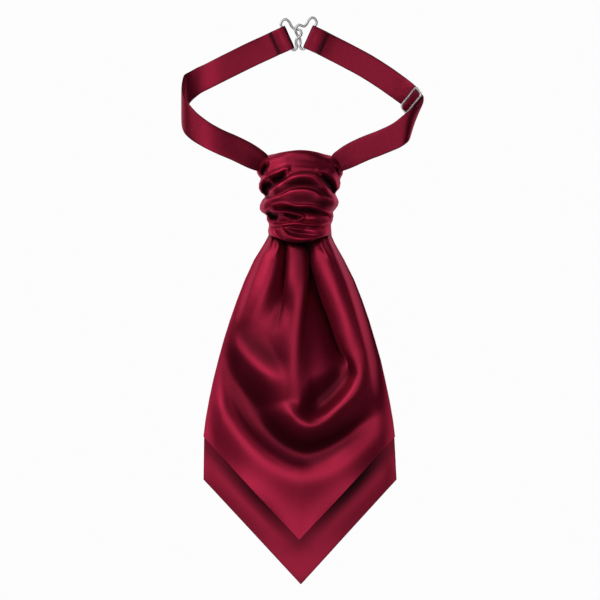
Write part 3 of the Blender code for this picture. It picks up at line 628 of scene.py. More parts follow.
OVERHANGS = (
    # name, shift, width, points of x, y and strength
    ("right pleat over its valley", 6.0, 4.5,
     ((8.0, 50, 0.3), (10.0, 31, 0.8), (14.4, 16.6, 1.0), (18.8, 2.2, 1.0), (25.0, -13.8, 1.0), (29.6, -27.4, 1.0),
      (34.0, -39.4, 0.9), (38.0, -49, 0.4), (41.0, -60, 0.0))),
    ("left edge of the central pleat", 5.0, 3.4,
     ((-8.6, 54, 1.0), (-9.2, 31, 1.0), (-11.0, 12, 0.9), (-15.0, -4, 0.3), (-22.0, -18, 0.0))),
    ("right edge of the central pleat", 4.0, 3.5,
     ((0.0, -50, 0.0), (3.0, -23.4, 0.3), (4.6, 8.6, 1.0), (6.2, 31, 1.0), (6.2, 50, 0.4))),
)
TAIL_EDGE_HEIGHT = 3.85
DOME_TOP = 9.0
DOME_SWELL = 24.0
DOME_REACH_TOP = 0.94
DOME_REACH_FOOT = 0.86
HEM_LIFT = 6.0
TIP_LIFT = 1.5
TOP_RISE = 2.5
SETTLE = 1.1

# %% Front tail
TAIL_GRID = ((150, 200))


def place_front_tail(across, down):
    across = across * 2 - 1
    top_y = read_curve(WRAP_FOOT, (across * 1.05 + 1) / 2) + 3.0
    x, y = tail_outline(FRONT_TAIL, top_y, across, down)
    aside = np.abs(across)
    reach = DOME_REACH_TOP + (DOME_REACH_FOOT - DOME_REACH_TOP) * np.clip(down * 2, 0, 1)
    fullness = np.exp(-((aside / reach) ** 4))
    dome = (DOME_TOP + DOME_SWELL * down * (1 - down)) * fullness * (1 - down**2.4)
    dome += down**8 * (TIP_LIFT * (1 - aside**2) + HEM_LIFT * np.sin(math.pi * aside) ** 2)
    rise = TOP_RISE * fullness * np.exp(-(((50.0 - y) / 42.0) ** 2))
    hem = np.clip((1 - aside) / 0.16, 0, 1)
    hem = hem * hem * (3 - 2 * hem) * np.sin(math.pi / 2 * np.clip((1 - down) / 0.22, 0, 1))
    ridges = gather_folds(RIDGES, x, y)
    valleys = gather_folds(VALLEYS, x, y)
    folds = ridges - valleys + gather_folds(PUCKERS, x, y)
    pressed = 1 - 0.30 * np.exp(-((down / 0.018) ** 2))
    lift = (dome + rise + hem * folds) * pressed
    drawn_shade = gather_folds(TAIL_SHADES, x, y) - gather_folds(TAIL_GLINTS, x, y)
    settled = SETTLE * np.log1p(np.exp(lift / SETTLE)) - SETTLE * math.log(2) * (1 - hem)
    for _, shift, width, points in OVERHANGS:
        move_x, move_y = overhang(shift, width, points, x, y)
        x = x + move_x * hem
        y = y + move_y * hem
    # Painted shadow where the top of the tail goes under the wrap, with the painted shade and highlights of the
    # tables.
    shade = 0.7 * np.exp(-((down / 0.03) ** 2)) + drawn_shade
    return x, y, TAIL_EDGE_HEIGHT + settled, np.clip(shade, -0.9, 0.92)


# %% [markdown]
# The knot is one length of satin that is pushed together into a ruche and wrapped once at its foot. Seen from above
# it has an outline of soft lobes, and its face is a stack of rolled folds with dark pockets between them. One grid
# is bent round an axis that runs down the cravat. Two tables give its outline on the left and on the right, and one
# gives how high its face stands.

# %% Outline of the knot
KNOT_AXIS_Z = 11.0
KNOT_TURN = 118.0
CROWN_TOP = (116.6, 118.0, 119.1, 119.7, 119.2, 117.8, 115.8)
WRAP_FOOT = (51.6, 48.6, 46.4, 46.2, 47.0, 49.4, 51.8)
KNOT_LEFT = (
    # y, half the width on the left
    (117.0, 24.0), (115.6, 27.0), (113.5, 31.0), (111.0, 33.2), (107.0, 34.4), (102.2, 34.5), (99.4, 33.0),
    (97.6, 31.4), (96.2, 31.6), (93.4, 32.8), (89.4, 32.9), (86.2, 31.2), (84.0, 28.4), (82.8, 28.0),
    (80.6, 30.0), (76.6, 32.0), (73.0, 32.2), (70.6, 30.6), (69.0, 28.0), (67.8, 26.6), (64.6, 26.6),
    (61.6, 25.0), (60.0, 24.8), (56.0, 25.6), (52.0, 25.4), (49.0, 24.0),
)
KNOT_RIGHT = (
    # y, half the width on the right
    (117.0, 24.0), (115.0, 27.0), (113.0, 30.6), (110.6, 33.0), (106.0, 34.5), (101.0, 34.2), (98.0, 32.6),
    (96.4, 32.0), (93.6, 32.4), (89.8, 31.6), (86.6, 28.8), (85.2, 28.2), (82.4, 29.6), (79.0, 31.0),
    (75.6, 30.2), (72.4, 27.8), (70.8, 26.4), (67.6, 26.8), (63.6, 26.0), (61.0, 24.8), (59.0, 24.8),
    (55.0, 25.2), (52.0, 24.6), (49.0, 23.0),
)
KNOT_RISE = (
    # y, height of the face above the axis
    (120.0, 16.0), (117.0, 17.6), (112.0, 18.2), (104.0, 18.4), (99.0, 19.0), (92.0, 17.6), (86.0, 17.2),
    (78.0, 17.4), (74.0, 17.6), (71.0, 17.2), (66.0, 16.6), (61.0, 16.4), (55.0, 16.6), (50.0, 16.2), (46.0, 15.4),
)

# %% [markdown]
# Each roll of the ruche is a ridge, and the cloth dives under the next roll in a narrow valley. Pockets are short
# deep valleys, where the folds open towards the sides.

# %% Rolls, valleys and pockets of the knot
KNOT_RIDGES = (
    # name, height, left width, right width, crest, points of x, y and strength
    ("crown lower edge", 0.7, 1.6, 3.5, 2.0,
     ((-12.0, 106.0, 0.3), (-6.0, 105.4, 1.0), (8.0, 104.8, 1.0), (24.0, 103.4, 0.4))),
    ("left ear rim", 1.8, 2.0, 1.6, 2.0,
     ((-25.0, 109.6, 0.4), (-25.4, 106.0, 1.0), (-27.2, 102.4, 1.0), (-30.0, 99.6, 0.6))),
    ("left ear outer rim", 1.4, 1.6, 2.2, 2.0, ((-27.0, 110.6, 0.5), (-30.8, 108.8, 1.0), (-32.8, 104.0, 1.0))),
    ("right ear rim", 1.6, 1.4, 2.0, 2.0, ((26.4, 109.0, 0.5), (27.6, 105.4, 1.0), (29.6, 101.4, 0.8))),
    ("left flap", 3.0, 2.6, 1.5, 2.0,
     ((-32.0, 94.4, 0.7), (-29.0, 98.0, 1.0), (-24.0, 99.4, 1.0), (-17.6, 101.8, 1.0), (-12.0, 104.0, 1.0),
      (-9.8, 104.0, 0.8))),
    ("left flap lower edge", 2.6, 1.5, 1.5, 2.0,
     ((-9.8, 104.0, 0.6), (-11.0, 99.6, 1.0), (-15.4, 94.6, 1.0), (-20.0, 90.8, 0.8), (-24.0, 87.0, 0.3))),
    ("right flap", 3.0, 2.6, 1.5, 2.0,
     ((15.0, 102.8, 0.6), (21.0, 101.6, 1.0), (26.4, 97.6, 1.0), (30.0, 91.4, 0.8))),
    ("roll A", 4.6, 2.2, 12.5, 0,
     ((-25.2, 85.4, 0.7), (-19.4, 89.4, 1.0), (-13.8, 93.8, 1.0), (-5.6, 97.8, 1.0), (2.4, 99.4, 1.0),
      (10.4, 98.2, 1.0), (16.0, 94.4, 1.0), (20.6, 89.4, 1.0), (26.4, 84.8, 0.9), (29.6, 80.8, 0.6))),
    ("roll B", 4.6, 2.0, 12.0, 0,
     ((-26.4, 79.2, 0.9), (-20.6, 81.8, 1.0), (-13.6, 83.6, 1.0), (-8.0, 86.4, 1.0), (-2.4, 87.6, 1.0),
      (4.6, 87.6, 1.0), (11.4, 86.0, 1.0), (16.0, 83.0, 1.0), (21.6, 80.6, 0.9), (27.2, 79.6, 0.7))),
    ("roll B left loop", 2.0, 1.6, 1.8, 2.0,
     ((-24.0, 81.0, 0.5), (-28.2, 77.6, 1.0), (-28.6, 74.0, 1.0), (-26.0, 71.6, 0.8))),
    ("roll C", 2.6, 2.0, 1.4, 2.0,
     ((-26.0, 73.0, 0.7), (-19.4, 76.6, 1.0), (-12.6, 77.2, 1.0), (-2.4, 75.2, 1.0), (6.8, 75.2, 1.0),
      (14.8, 73.2, 1.0), (22.8, 70.3, 1.0), (26.4, 71.5, 0.7))),
    ("crinkle", 2.2, 1.1, 1.3, 2.0,
     ((-21.6, 71.6, 0.4), (-17.2, 71.0, 0.9), (-11.2, 70.6, 1.0), (-4.8, 69.4, 1.0), (2.2, 67.0, 1.0),
      (0.8, 64.6, 0.9), (-5.6, 63.4, 1.0), (-13.6, 67.0, 1.0), (-17.2, 65.4, 0.6))),
    ("right facet", 1.8, 3.4, 3.0, 2.0,
     ((8.0, 65.6, 0.4), (14.0, 66.8, 1.0), (22.0, 67.4, 1.0), (26.0, 67.0, 0.5))),
    ("low roll", 2.0, 1.6, 1.4, 2.0,
     ((-25.0, 60.8, 0.7), (-16.0, 59.6, 1.0), (-10.4, 60.8, 1.0), (-2.4, 61.4, 1.0), (2.4, 60.8, 0.9),
      (9.2, 59.6, 0.9), (22.8, 62.4, 0.7))),
    ("wrap facet left", 1.4, 4.0, 3.0, 2.0, ((-24.0, 58.0, 0.7), (-21.6, 54.0, 1.0), (-18.0, 50.0, 0.8))),
    ("wrap curl", 2.2, 2.2, 1.5, 2.0,
     ((-14.6, 58.6, 0.6), (-13.0, 55.0, 1.0), (-9.4, 51.4, 1.0), (-4.0, 49.4, 1.0), (3.0, 48.8, 1.0),
      (11.4, 49.4, 0.9), (19.6, 51.2, 0.5))),
    ("wrap facet right", 1.2, 3.0, 3.4, 2.0, ((8.0, 56.0, 0.5), (14.0, 54.6, 1.0), (20.0, 54.0, 0.6))),
    ("wrap tie", 1.2, 0.9, 0.9, 2.0, ((-14.0, 58.0, 0.6), (-7.0, 57.8, 1.0), (0.0, 56.8, 0.7), (4.0, 57.4, 0.3))),
)
KNOT_VALLEYS = (
    # name, depth, left width, right width, crest, points of x, y and strength
    ("left ear pocket", 6.0, 1.9, 1.9, 1.4, ((-26.8, 107.2, 0.7), (-28.8, 104.6, 1.0), (-30.2, 101.4, 0.9))),
    ("right ear pocket", 5.0, 1.4, 1.4, 1.4, ((28.0, 106.4, 0.7), (29.6, 104.0, 1.0), (30.8, 101.2, 0.8))),
    ("left triangle", 7.5, 2.6, 2.6, 1.4, ((-12.8, 100.2, 0.6), (-15.4, 97.4, 1.0), (-20.6, 95.8, 0.8))),
    ("left lobe", 9.0, 3.2, 3.2, 1.4,
     ((-24.6, 92.4, 0.7), (-27.6, 90.4, 1.0), (-27.8, 87.6, 1.0), (-27.0, 85.6, 0.8))),
    ("right pocket", 9.5, 2.2, 2.2, 1.4,
     ((18.0, 99.0, 0.5), (21.6, 96.0, 1.0), (25.2, 91.6, 1.0), (27.2, 87.2, 1.0))),
    ("under the left flap", 2.0, 1.6, 2.0, 1.4, ((-30.0, 97.0, 0.5), (-31.4, 97.6, 1.0))),
    ("under roll C", 5.6, 1.5, 2.2, 1.3,
     ((-18.0, 73.4, 0.7), (-10.0, 73.8, 0.9), (-2.4, 72.2, 1.0), (7.0, 72.0, 1.0), (15.0, 69.8, 1.0),
      (23.0, 67.9, 0.7))),
    ("crinkle pocket", 8.0, 2.4, 2.6, 1.4, ((-24.6, 69.0, 1.0), (-22.0, 67.2, 1.0), (-19.0, 66.4, 0.7))),
    ("inside the crinkle", 3.6, 1.3, 1.3, 1.5, ((-10.6, 68.0, 0.7), (-4.4, 66.4, 1.0), (-1.0, 66.0, 0.6))),
    ("above the low roll", 1.6, 1.4, 1.2, 1.4,
     ((-22.0, 62.8, 0.6), (-8.0, 62.6, 1.0), (4.0, 62.6, 0.9), (16.0, 62.2, 0.6))),
    ("under the low roll", 1.6, 1.2, 1.5, 1.4,
     ((-22.0, 58.4, 0.7), (-12.0, 58.2, 0.6), (0.0, 59.0, 1.0), (16.0, 58.6, 0.8))),
    ("wrap diagonal", 2.2, 1.2, 2.0, 1.4, ((-21.0, 57.6, 0.5), (-17.6, 54.0, 1.0), (-14.0, 49.6, 1.0))),
    ("wrap hollow", 1.6, 2.4, 2.6, 1.6, ((-9.4, 55.4, 0.6), (-2.0, 53.4, 1.0), (6.0, 53.0, 0.8), (12.0, 52.4, 0.3))),
    ("crown hollow", 0.8, 3.0, 3.0, 2.0, ((-8.0, 112.0, 0.5), (4.0, 112.0, 1.0), (16.0, 111.0, 0.6))),
)
# Painted shade below the rolls, in the laps and pockets, and on the crown of the knot.
KNOT_SHADES = (
    # name, shade, left width, right width, crest, points of x, y and strength
    ("below roll A", 0.75, 4.2, 5.0, 2.0,
     ((-19.0, 85.0, 0.3), (-12.0, 90.0, 0.8), (-4.0, 93.4, 1.0), (4.0, 94.0, 1.0), (11.0, 91.6, 1.0),
      (17.0, 86.6, 0.8), (23.0, 82.8, 0.5))),
    ("below roll B", 0.75, 4.6, 4.6, 2.0,
     ((-20.0, 79.4, 0.5), (-4.0, 81.2, 0.8), (6.0, 81.2, 0.9), (14.0, 78.0, 1.0), (24.0, 76.0, 0.7))),
    ("lap of the wrap", 0.5, 1.2, 1.3, 2.0,
     ((-22.0, 59.6, 0.3), (-14.0, 59.4, 0.7), (-2.0, 58.8, 0.8), (8.0, 58.8, 1.0), (22.0, 60.4, 0.7))),
    ("inside the wrap curl", 0.45, 3.0, 3.0, 2.0, ((-10.0, 56.0, 0.6), (-3.0, 53.8, 1.0), (5.0, 53.4, 0.6))),
    ("inside the crinkle", 0.55, 1.6, 1.6, 2.0, ((-15.0, 69.0, 0.8), (-8.0, 67.4, 1.0), (-3.0, 66.2, 0.9))),
    ("foot of the wrap", 0.6, 1.6, 1.0, 2.0,
     ((-25.0, 50.6, 0.3), (-12.0, 47.4, 1.0), (0.0, 46.4, 1.0), (14.0, 47.6, 1.0))),
    ("below the crown", 0.3, 3.0, 3.0, 2.0, ((-8.0, 101.8, 0.5), (2.0, 102.6, 1.0), (14.0, 102.0, 0.8))),
    ("crown", 0.22, 8.0, 6.0, 2.0, ((-16.0, 115.0, 0.6), (2.0, 114.0, 1.0), (18.0, 112.0, 1.0))),
)
# Painted highlights along the rolls, flaps and facets of the knot.
KNOT_GLINTS = (
    # name, glint, left width, right width, crest, points of x, y and strength
    ("roll A", 0.9, 1.0, 1.3, 2.0,
     ((-25.2, 85.4, 0.6), (-19.4, 89.4, 0.9), (-13.8, 93.8, 0.9), (-5.6, 97.8, 1.0), (2.4, 99.4, 1.0),
      (10.4, 98.2, 1.0), (16.0, 94.4, 0.7), (20.6, 89.4, 0.7), (26.4, 84.8, 0.9), (29.6, 80.8, 0.6))),
    ("roll B", 0.8, 0.9, 1.2, 2.0,
     ((-26.4, 79.2, 0.9), (-20.6, 81.8, 0.9), (-13.6, 83.6, 0.7), (-8.0, 86.4, 1.0), (-2.4, 87.6, 1.0),
      (4.6, 87.6, 1.0), (11.4, 86.0, 1.0), (16.0, 83.0, 0.8), (21.6, 80.6, 0.9), (27.2, 79.6, 0.7))),
    ("roll C", 0.7, 1.2, 0.8, 2.0,
     ((-26.0, 73.0, 0.7), (-19.4, 76.6, 1.0), (-12.6, 77.2, 1.0), (-2.4, 75.2, 1.0), (6.8, 75.2, 0.9),
      (14.8, 73.2, 0.7), (22.8, 70.3, 0.7))),
    ("left flap", 0.5, 1.4, 1.0, 2.0,
     ((-32.0, 94.4, 0.6), (-29.0, 98.0, 0.8), (-24.0, 99.4, 1.0), (-17.6, 101.8, 1.0), (-11.0, 104.0, 0.9),
      (-10.6, 101.0, 0.8), (-13.4, 97.0, 0.5))),
    ("right flap", 0.6, 1.2, 0.9, 2.0,
     ((16.0, 102.4, 0.8), (21.0, 101.0, 1.0), (26.4, 97.2, 1.0), (29.6, 91.4, 0.8))),
    ("crown left", 0.2, 3.0, 3.0, 2.0, ((-22.0, 108.0, 0.8), (-15.0, 109.4, 1.0), (-11.0, 107.0, 0.6))),
    ("crown right", 0.3, 2.0, 2.6, 2.0, ((20.0, 111.0, 0.5), (23.0, 107.0, 1.0), (24.6, 102.6, 0.6))),
    ("wrap left", 0.5, 2.6, 3.0, 2.0, ((-24.0, 57.0, 0.6), (-21.6, 53.6, 1.0), (-18.0, 50.6, 0.8))),
    ("wrap right", 0.9, 3.4, 3.4, 2.0, ((8.0, 55.0, 0.5), (14.0, 56.4, 1.0), (20.0, 57.0, 0.8))),
    ("wrap curl", 0.6, 0.9, 0.9, 2.0,
     ((-13.0, 55.0, 0.7), (-9.4, 51.4, 1.0), (-4.0, 49.4, 1.0), (3.0, 48.8, 1.0), (11.4, 49.4, 0.8))),
    ("low roll", 0.5, 0.8, 0.8, 2.0,
     ((-22.0, 60.0, 0.8), (-16.0, 59.6, 1.0), (-10.4, 60.8, 1.0), (-2.4, 61.4, 1.0), (9.2, 60.0, 0.9),
      (20.0, 61.8, 0.7))),
    ("right facet", 0.6, 2.6, 2.4, 2.0, ((10.0, 65.8, 0.4), (16.0, 67.0, 1.0), (22.0, 67.6, 1.0))),
)
KNOT_GRID = ((232, 206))
TUCK = 0.03
SIDE_SHARE = 0.12


def read_table(rows, y):
    """A column of a table at heights y, for a table whose first column falls."""
    return np.interp(y, [row[0] for row in reversed(rows)], [row[1] for row in reversed(rows)])


def place_knot(across, down):
    angle = np.radians(KNOT_TURN) * (2 * across - 1)
    front = np.sin(np.clip(angle, -math.pi / 2, math.pi / 2))
    top_y = read_curve(CROWN_TOP, (front + 1) / 2)
    foot_y = read_curve(WRAP_FOOT, (front + 1) / 2)
    y = top_y + np.clip((down - TUCK) / (1 - 2 * TUCK), 0, 1) * (foot_y - top_y)
    half = np.where(angle < 0, read_table(KNOT_LEFT, y), read_table(KNOT_RIGHT, y))
    rise = np.where(np.cos(angle) > 0, read_table(KNOT_RISE, y), 10.2)
    edge = 1 - 0.04 * np.exp(-(top_y - y) / 1.6) - 0.06 * np.exp(-(y - foot_y) / 1.2)
    edge -= 0.55 * np.clip(1 - down / TUCK, 0, 1) + 0.30 * np.clip((down - 1 + TUCK) / TUCK, 0, 1)
    seen_x = half * np.sin(angle)
    ridges = gather_folds(KNOT_RIDGES, seen_x, y)
    valleys = gather_folds(KNOT_VALLEYS, seen_x, y)
    lift = (ridges - valleys) * np.clip(np.cos(angle) * 4.0 - 1.0, 0, 1)
    x = (half * edge + SIDE_SHARE * lift) * np.sin(angle)
    z = KNOT_AXIS_Z + rise * edge * np.cos(angle) + lift
    # Painted shade from the valleys and the shade table, and painted highlights from the ridges and the glint table,
    # on the front of the knot.
    shade = fold_shade(0.4 * ridges, valleys, 4.5, 9.0)
    shade = np.clip(shade + gather_folds(KNOT_SHADES, seen_x, y) - gather_folds(KNOT_GLINTS, seen_x, y), -0.9, 0.92)
    return x, y, np.maximum(z, 0.7), shade * np.clip(np.cos(angle) * 4.0, 0, 1)


knot_sheet = cloth_grid("knot", *KNOT_GRID, place_knot, (110.0, 130.0), smoothing=1)
KNOT_NODES = [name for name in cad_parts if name.startswith("knot_") and name != "knot_core"]
knot = finish_piece("knot", knot_sheet, satin, KNOT_NODES, wall=0.5)

# %% [markdown]
# Inside the ruche the rest of the cloth is bunched up. It only shows where one looks into the knot from above its
# crown or from under the wrap, so one closed roll with gathers at both ends stands for it.

# %% Cloth inside the knot
CORE_SHARE = 0.60
CORE_FLARE = 0.26
CORE_GATHERS = 13
CORE_ENDS = (50.5, 115.5)


def place_core(across, down):
    angle = 2 * math.pi * across
    low_y, top_y = CORE_ENDS
    near_end = np.abs(2 * down - 1)
    y = top_y - down * (top_y - low_y)
    bulge = np.sqrt(np.clip(1 - near_end**7, 0, 1)) * (1 + 0.05 * near_end**3 * np.cos(CORE_GATHERS * angle))
    flare = near_end**4
    half = np.minimum(read_table(KNOT_LEFT, y), read_table(KNOT_RIGHT, y)) * (CORE_SHARE + CORE_FLARE * flare)
    rise = np.where(np.cos(angle) > 0, read_table(KNOT_RISE, y) * (CORE_SHARE - 0.1 + CORE_FLARE * flare), 9.6)
    # Painted shade, growing towards both gathered ends of the roll, deep in the knot.
    shade = 0.5 * near_end**4
    return half * bulge * np.sin(angle), y, KNOT_AXIS_Z + rise * bulge * np.cos(angle), shade


core_sheet = cloth_grid("knot-core", 72, 60, place_core, (120.0, 70.0))
bmesh.ops.remove_doubles(core_sheet, verts=core_sheet.verts, dist=0.00002)
bmesh.ops.recalc_face_normals(core_sheet, faces=core_sheet.faces)
finish_piece("knot-core", core_sheet, satin, ["knot_core"])

# %% [markdown]
# With the knot's lowest line known, the front tail can be made. It starts just under the wrap.

# %% Make the front tail
front_sheet = cloth_grid("tail-front", *TAIL_GRID, place_front_tail, (154.0, 245.0), smoothing=1)
front_tail = finish_piece("tail-front", front_sheet, satin, ["tail_front"], wall=1.3, rim=0.5)

# %% [markdown]
# The neckband is a tube of satin pressed flat, 19.5 mm wide. Its middle line is a table in space: it leaves the side
# of the knot, rolls over at the edge of the loop and lies down on the table towards the clasp. A flattened ring of
# points rides along that line. The two columns lean and rise turn the ring about, and width narrows it at the knot.

# %% Lines of the straps
STRAP_WIDTH = 19.5
STRAP_THICKNESS = 1.6
STRAP_LEFT = (
    # x, y, z, lean, rise, width
    (-28.6, 109.0, 15.6, -30, 0, 0.72),
    (-31.6, 110.7, 17.6, -30, 0, 0.84),
    (-40.0, 115.4, 20.6, -14, 0, 0.97),
    (-52.0, 121.2, 23.4, 0, 0, 1.0),
    (-64.0, 126.4, 26.0, 0, 0, 1.0),
    (-75.0, 132.3, 27.8, 0, 0, 1.0),
    (-84.5, 139.2, 27.2, 0, 0, 1.0),
    (-91.0, 146.5, 23.4, 0, 0, 1.0),
    (-93.6, 153.5, 17.6, 0, 0, 1.0),
    (-93.3, 161.0, 10.8, 0, 0, 1.0),
    (-90.2, 168.2, 6.0, 0, 4, 1.0),
    (-82.5, 174.8, 3.4, 0, 8, 1.0),
    (-72.0, 180.4, 2.6, 0, 9, 1.0),
    (-55.0, 189.0, 2.2, 6, 7, 1.0),
    (-38.0, 197.4, 1.6, 16, 4, 1.0),
    (-26.0, 202.9, 1.6, 24, 0, 1.0),
    (-19.6, 205.9, 2.6, 24, 0, 1.0),
    (-14.0, 208.4, 4.0, 24, 0, 1.0),
    (-10.0, 210.2, 4.0, 24, 0, 1.0),
    (-8.5, 210.9, 3.2, 24, 0, 1.0),
)
STRAP_RIGHT_FRONT = (
    # x, y, z, lean, rise, width
    (28.4, 108.6, 15.6, 30, 0, 0.72),
    (31.4, 110.8, 17.0, 30, 0, 0.84),
    (40.0, 115.6, 19.6, 12, 0, 0.97),
    (52.0, 121.0, 22.4, 0, 0, 1.0),
    (64.0, 125.6, 25.6, 0, 0, 1.0),
    (75.0, 130.6, 28.0, 0, 0, 1.0),
    (83.6, 136.4, 28.6, -2, 2, 1.0),
    (89.2, 141.4, 26.0, -10, 8, 1.0),
    (92.4, 146.6, 20.4, -25, 16, 1.0),
)
STRAP_RIGHT_BACK = (
    # x, y, z, lean, rise, width
    (82.6, 167.4, 4.4, -35, 14, 1.0),
    (76.0, 172.4, 2.6, -26, 9, 1.0),
    (66.0, 179.4, 2.2, -20, 7, 1.0),
    (52.0, 188.2, 2.0, -20, 6, 1.0),
    (36.0, 196.8, 1.6, -24, 3, 1.0),
    (26.6, 201.6, 1.6, -24, 0, 1.0),
    (20.4, 204.7, 2.6, -24, 0, 1.0),
    (14.4, 207.7, 4.0, -24, 0, 1.0),
    (8.6, 210.4, 4.0, -24, 0, 1.0),
    (6.6, 211.3, 3.2, -24, 0, 1.0),
)
SLIDER_CENTRE = Vector((88.7, 159.7, 11.5))
SLIDER_LEAN = -39
SLIDER_RISE = 24
SLIDER_RUN = Vector((-0.42, 0.69, -0.59))
SLIDER_WIRE = 1.0
SLIDER_LENGTH = 22.6
SLIDER_BAR_PITCH = 4.8
SLIDER_CORNER_RADIUS = 1.8


def crosswise_line(lean, rise):
    level = math.cos(math.radians(rise))
    return Vector((
        -math.sin(math.radians(lean)) * level,
        math.cos(math.radians(lean)) * level,
        math.sin(math.radians(rise)),
    ))


def slider_axes():
    """Across the strap, along it towards the clasp, and out of the slider's face."""
    crosswise = crosswise_line(SLIDER_LEAN, SLIDER_RISE)
    along = (SLIDER_RUN - SLIDER_RUN.dot(crosswise) * crosswise).normalized()
    out = along.cross(crosswise)
    return crosswise, along, out if out.z > 0 else -out


def slider_weave():
    """Stations of the strap under the first bar, over the middle one and under the last."""
    _, along, out = slider_axes()
    clear = SLIDER_WIRE + STRAP_THICKNESS / 2 + 0.3
    rows = []
    for bars, lift in ((-1.0, -1.0), (-0.5, 0.0), (0.0, 1.0), (0.5, 0.0), (1.0, -1.0)):
        place = SLIDER_CENTRE + along * bars * SLIDER_BAR_PITCH + out * lift * clear
        rows.append((*place, SLIDER_LEAN, SLIDER_RISE, 1.0))
    return tuple(rows)


# %% [markdown]
# A grid that is rolled into a tube is the strap: its columns go round the flattened ring, its rows go along the
# band, and the two long edges of the grid are merged. Lengthwise creases run out from the knot, where the band is
# gathered, and the pressed face is very slightly pillowed.

# %% Straps
RING_POINTS = 32
STEPS_PER_STATION = 5
GATHERS = ((-0.62, 0.5), (-0.2, 0.7), (0.22, 0.6), (0.6, 0.4))
GATHER_WIDTH = 0.13
GATHER_REACH = 9.0
STITCH_LINE = 12.6
STRAP_GLINT = 0.45
STRAP_SHADE = 0.3


def flattened_ring(count):
    """Points of a pressed tube's section: share of the half width and share of the thickness."""
    angles = np.linspace(0, 2 * math.pi, count, endpoint=False) + math.pi / 2
    cosine = np.cos(angles)
    sine = np.sin(angles)
    return np.sign(cosine) * np.abs(cosine) ** 0.55, 0.5 * np.sign(sine) * np.abs(sine) ** 0.35


def make_strap(name, node, stations):
    path = smooth_rows(stations, STEPS_PER_STATION)
    sides, faces = flattened_ring(RING_POINTS)
    steps = np.linalg.norm(np.diff(path[:, :3], axis=0), axis=1)
    travelled = np.concatenate([[0.0], np.cumsum(steps)])
    tube = bmesh.new()
    bmesh.ops.create_grid(tube, x_segments=RING_POINTS, y_segments=len(path) - 1, size=1.0)
    cloth = tube.loops.layers.uv.new("cloth")
    shade = tube.verts.layers.float.new("shade")
    round_at = {v: round((v.co.x + 1) / 2 * RING_POINTS) for v in tube.verts}
    along_at = {v: round((v.co.y + 1) / 2 * (len(path) - 1)) for v in tube.verts}
    for face in tube.faces:
        face.smooth = True
        for loop in face.loops:
            turn = round_at[loop.vert] / RING_POINTS
            loop[cloth].uv = (turn * 2 * STRAP_WIDTH, travelled[along_at[loop.vert]])
    for vert in tube.verts:
        row = along_at[vert]
        x, y, z, lean, rise, width = path[row]
        before = Vector(path[max(row - 1, 0)][:3])
        after = Vector(path[min(row + 1, len(path) - 1)][:3])
        along = (after - before).normalized()
        crosswise = crosswise_line(lean, rise)
        square = along.cross(crosswise)
        half = STRAP_WIDTH / 2 * width / square.length
        side = sides[round_at[vert] % RING_POINTS]
        lift = faces[round_at[vert] % RING_POINTS] * STRAP_THICKNESS
        gathered = math.exp(-travelled[row] / GATHER_REACH)
        for place, depth in GATHERS:
            lift += depth * gathered * math.exp(-(((side - place) / GATHER_WIDTH) ** 2)) * np.sign(lift)
        # Painted shade: an even share over the band, more along the stitch line, at the end, in the gathers and on
        # the edges; painted highlights near the end and on the left band's bend.
        to_end = travelled[-1] - travelled[row]
        dark = STRAP_SHADE + 0.6 * math.exp(-(((to_end - STITCH_LINE - 0.8) / 1.4) ** 2)) + 0.75 * math.exp(-((to_end / 0.9) ** 2))
        dark += 0.35 * gathered * (0.5 + 0.5 * math.cos(side * 11.0)) + 0.3 * (abs(side) > 0.93)
        dark -= 0.3 * math.exp(-(((to_end - 6.0) / 1.6) ** 2)) * (0.6 + 0.4 * math.cos(side * 5.0))
        dark -= STRAP_GLINT * math.exp(-(((abs(x) - 72.0) / 7.0) ** 2)) * (x < 0)
        vert[shade] = float(min(max(dark, -0.6), 0.85))
        point = Vector((x, y, z)) + crosswise * half * float(side) + square.normalized() * float(lift)
        point.z = max(point.z, 0.05)
        vert.co = ((point.x + MIDDLE_X) * MM, point.y * MM, point.z * MM)
    bmesh.ops.remove_doubles(tube, verts=tube.verts, dist=0.00001)
    bmesh.ops.holes_fill(tube, edges=[e for e in tube.edges if e.is_boundary], sides=RING_POINTS + 2)
    bmesh.ops.recalc_face_normals(tube, faces=tube.faces)
    strap = finish_piece(name, tube, satin, [node])
    print(name, "is", round(float(travelled[-1])), "mm long")
    return strap


make_strap("strap-left", "strap_left", STRAP_LEFT)
make_strap("strap-right", "strap_right", STRAP_RIGHT_FRONT + slider_weave() + STRAP_RIGHT_BACK)

# %% [markdown]
# Each strap end is turned back under itself round the clasp wire and sewn down. The turned-back layer is a low pad
# below the strap, and a row of zigzag stitches holds the two layers together.

# %% Turned-back ends
TURN_BACK_LENGTH = 12.0
TURN_BACK_THICKNESS = 1.4


def end_axes(stations):
    """The end of a strap: its middle, the direction back along the strap, and the direction across it."""
    end_x, end_y, _, lean = stations[-1][:4]
    sense = -1 if end_x < 0 else 1
    along = Vector((math.cos(math.radians(lean)) * sense, -abs(math.sin(math.radians(lean))), 0.0))
    return Vector((end_x, end_y, 0.0)), along, Vector((-along.y, along.x, 0.0))


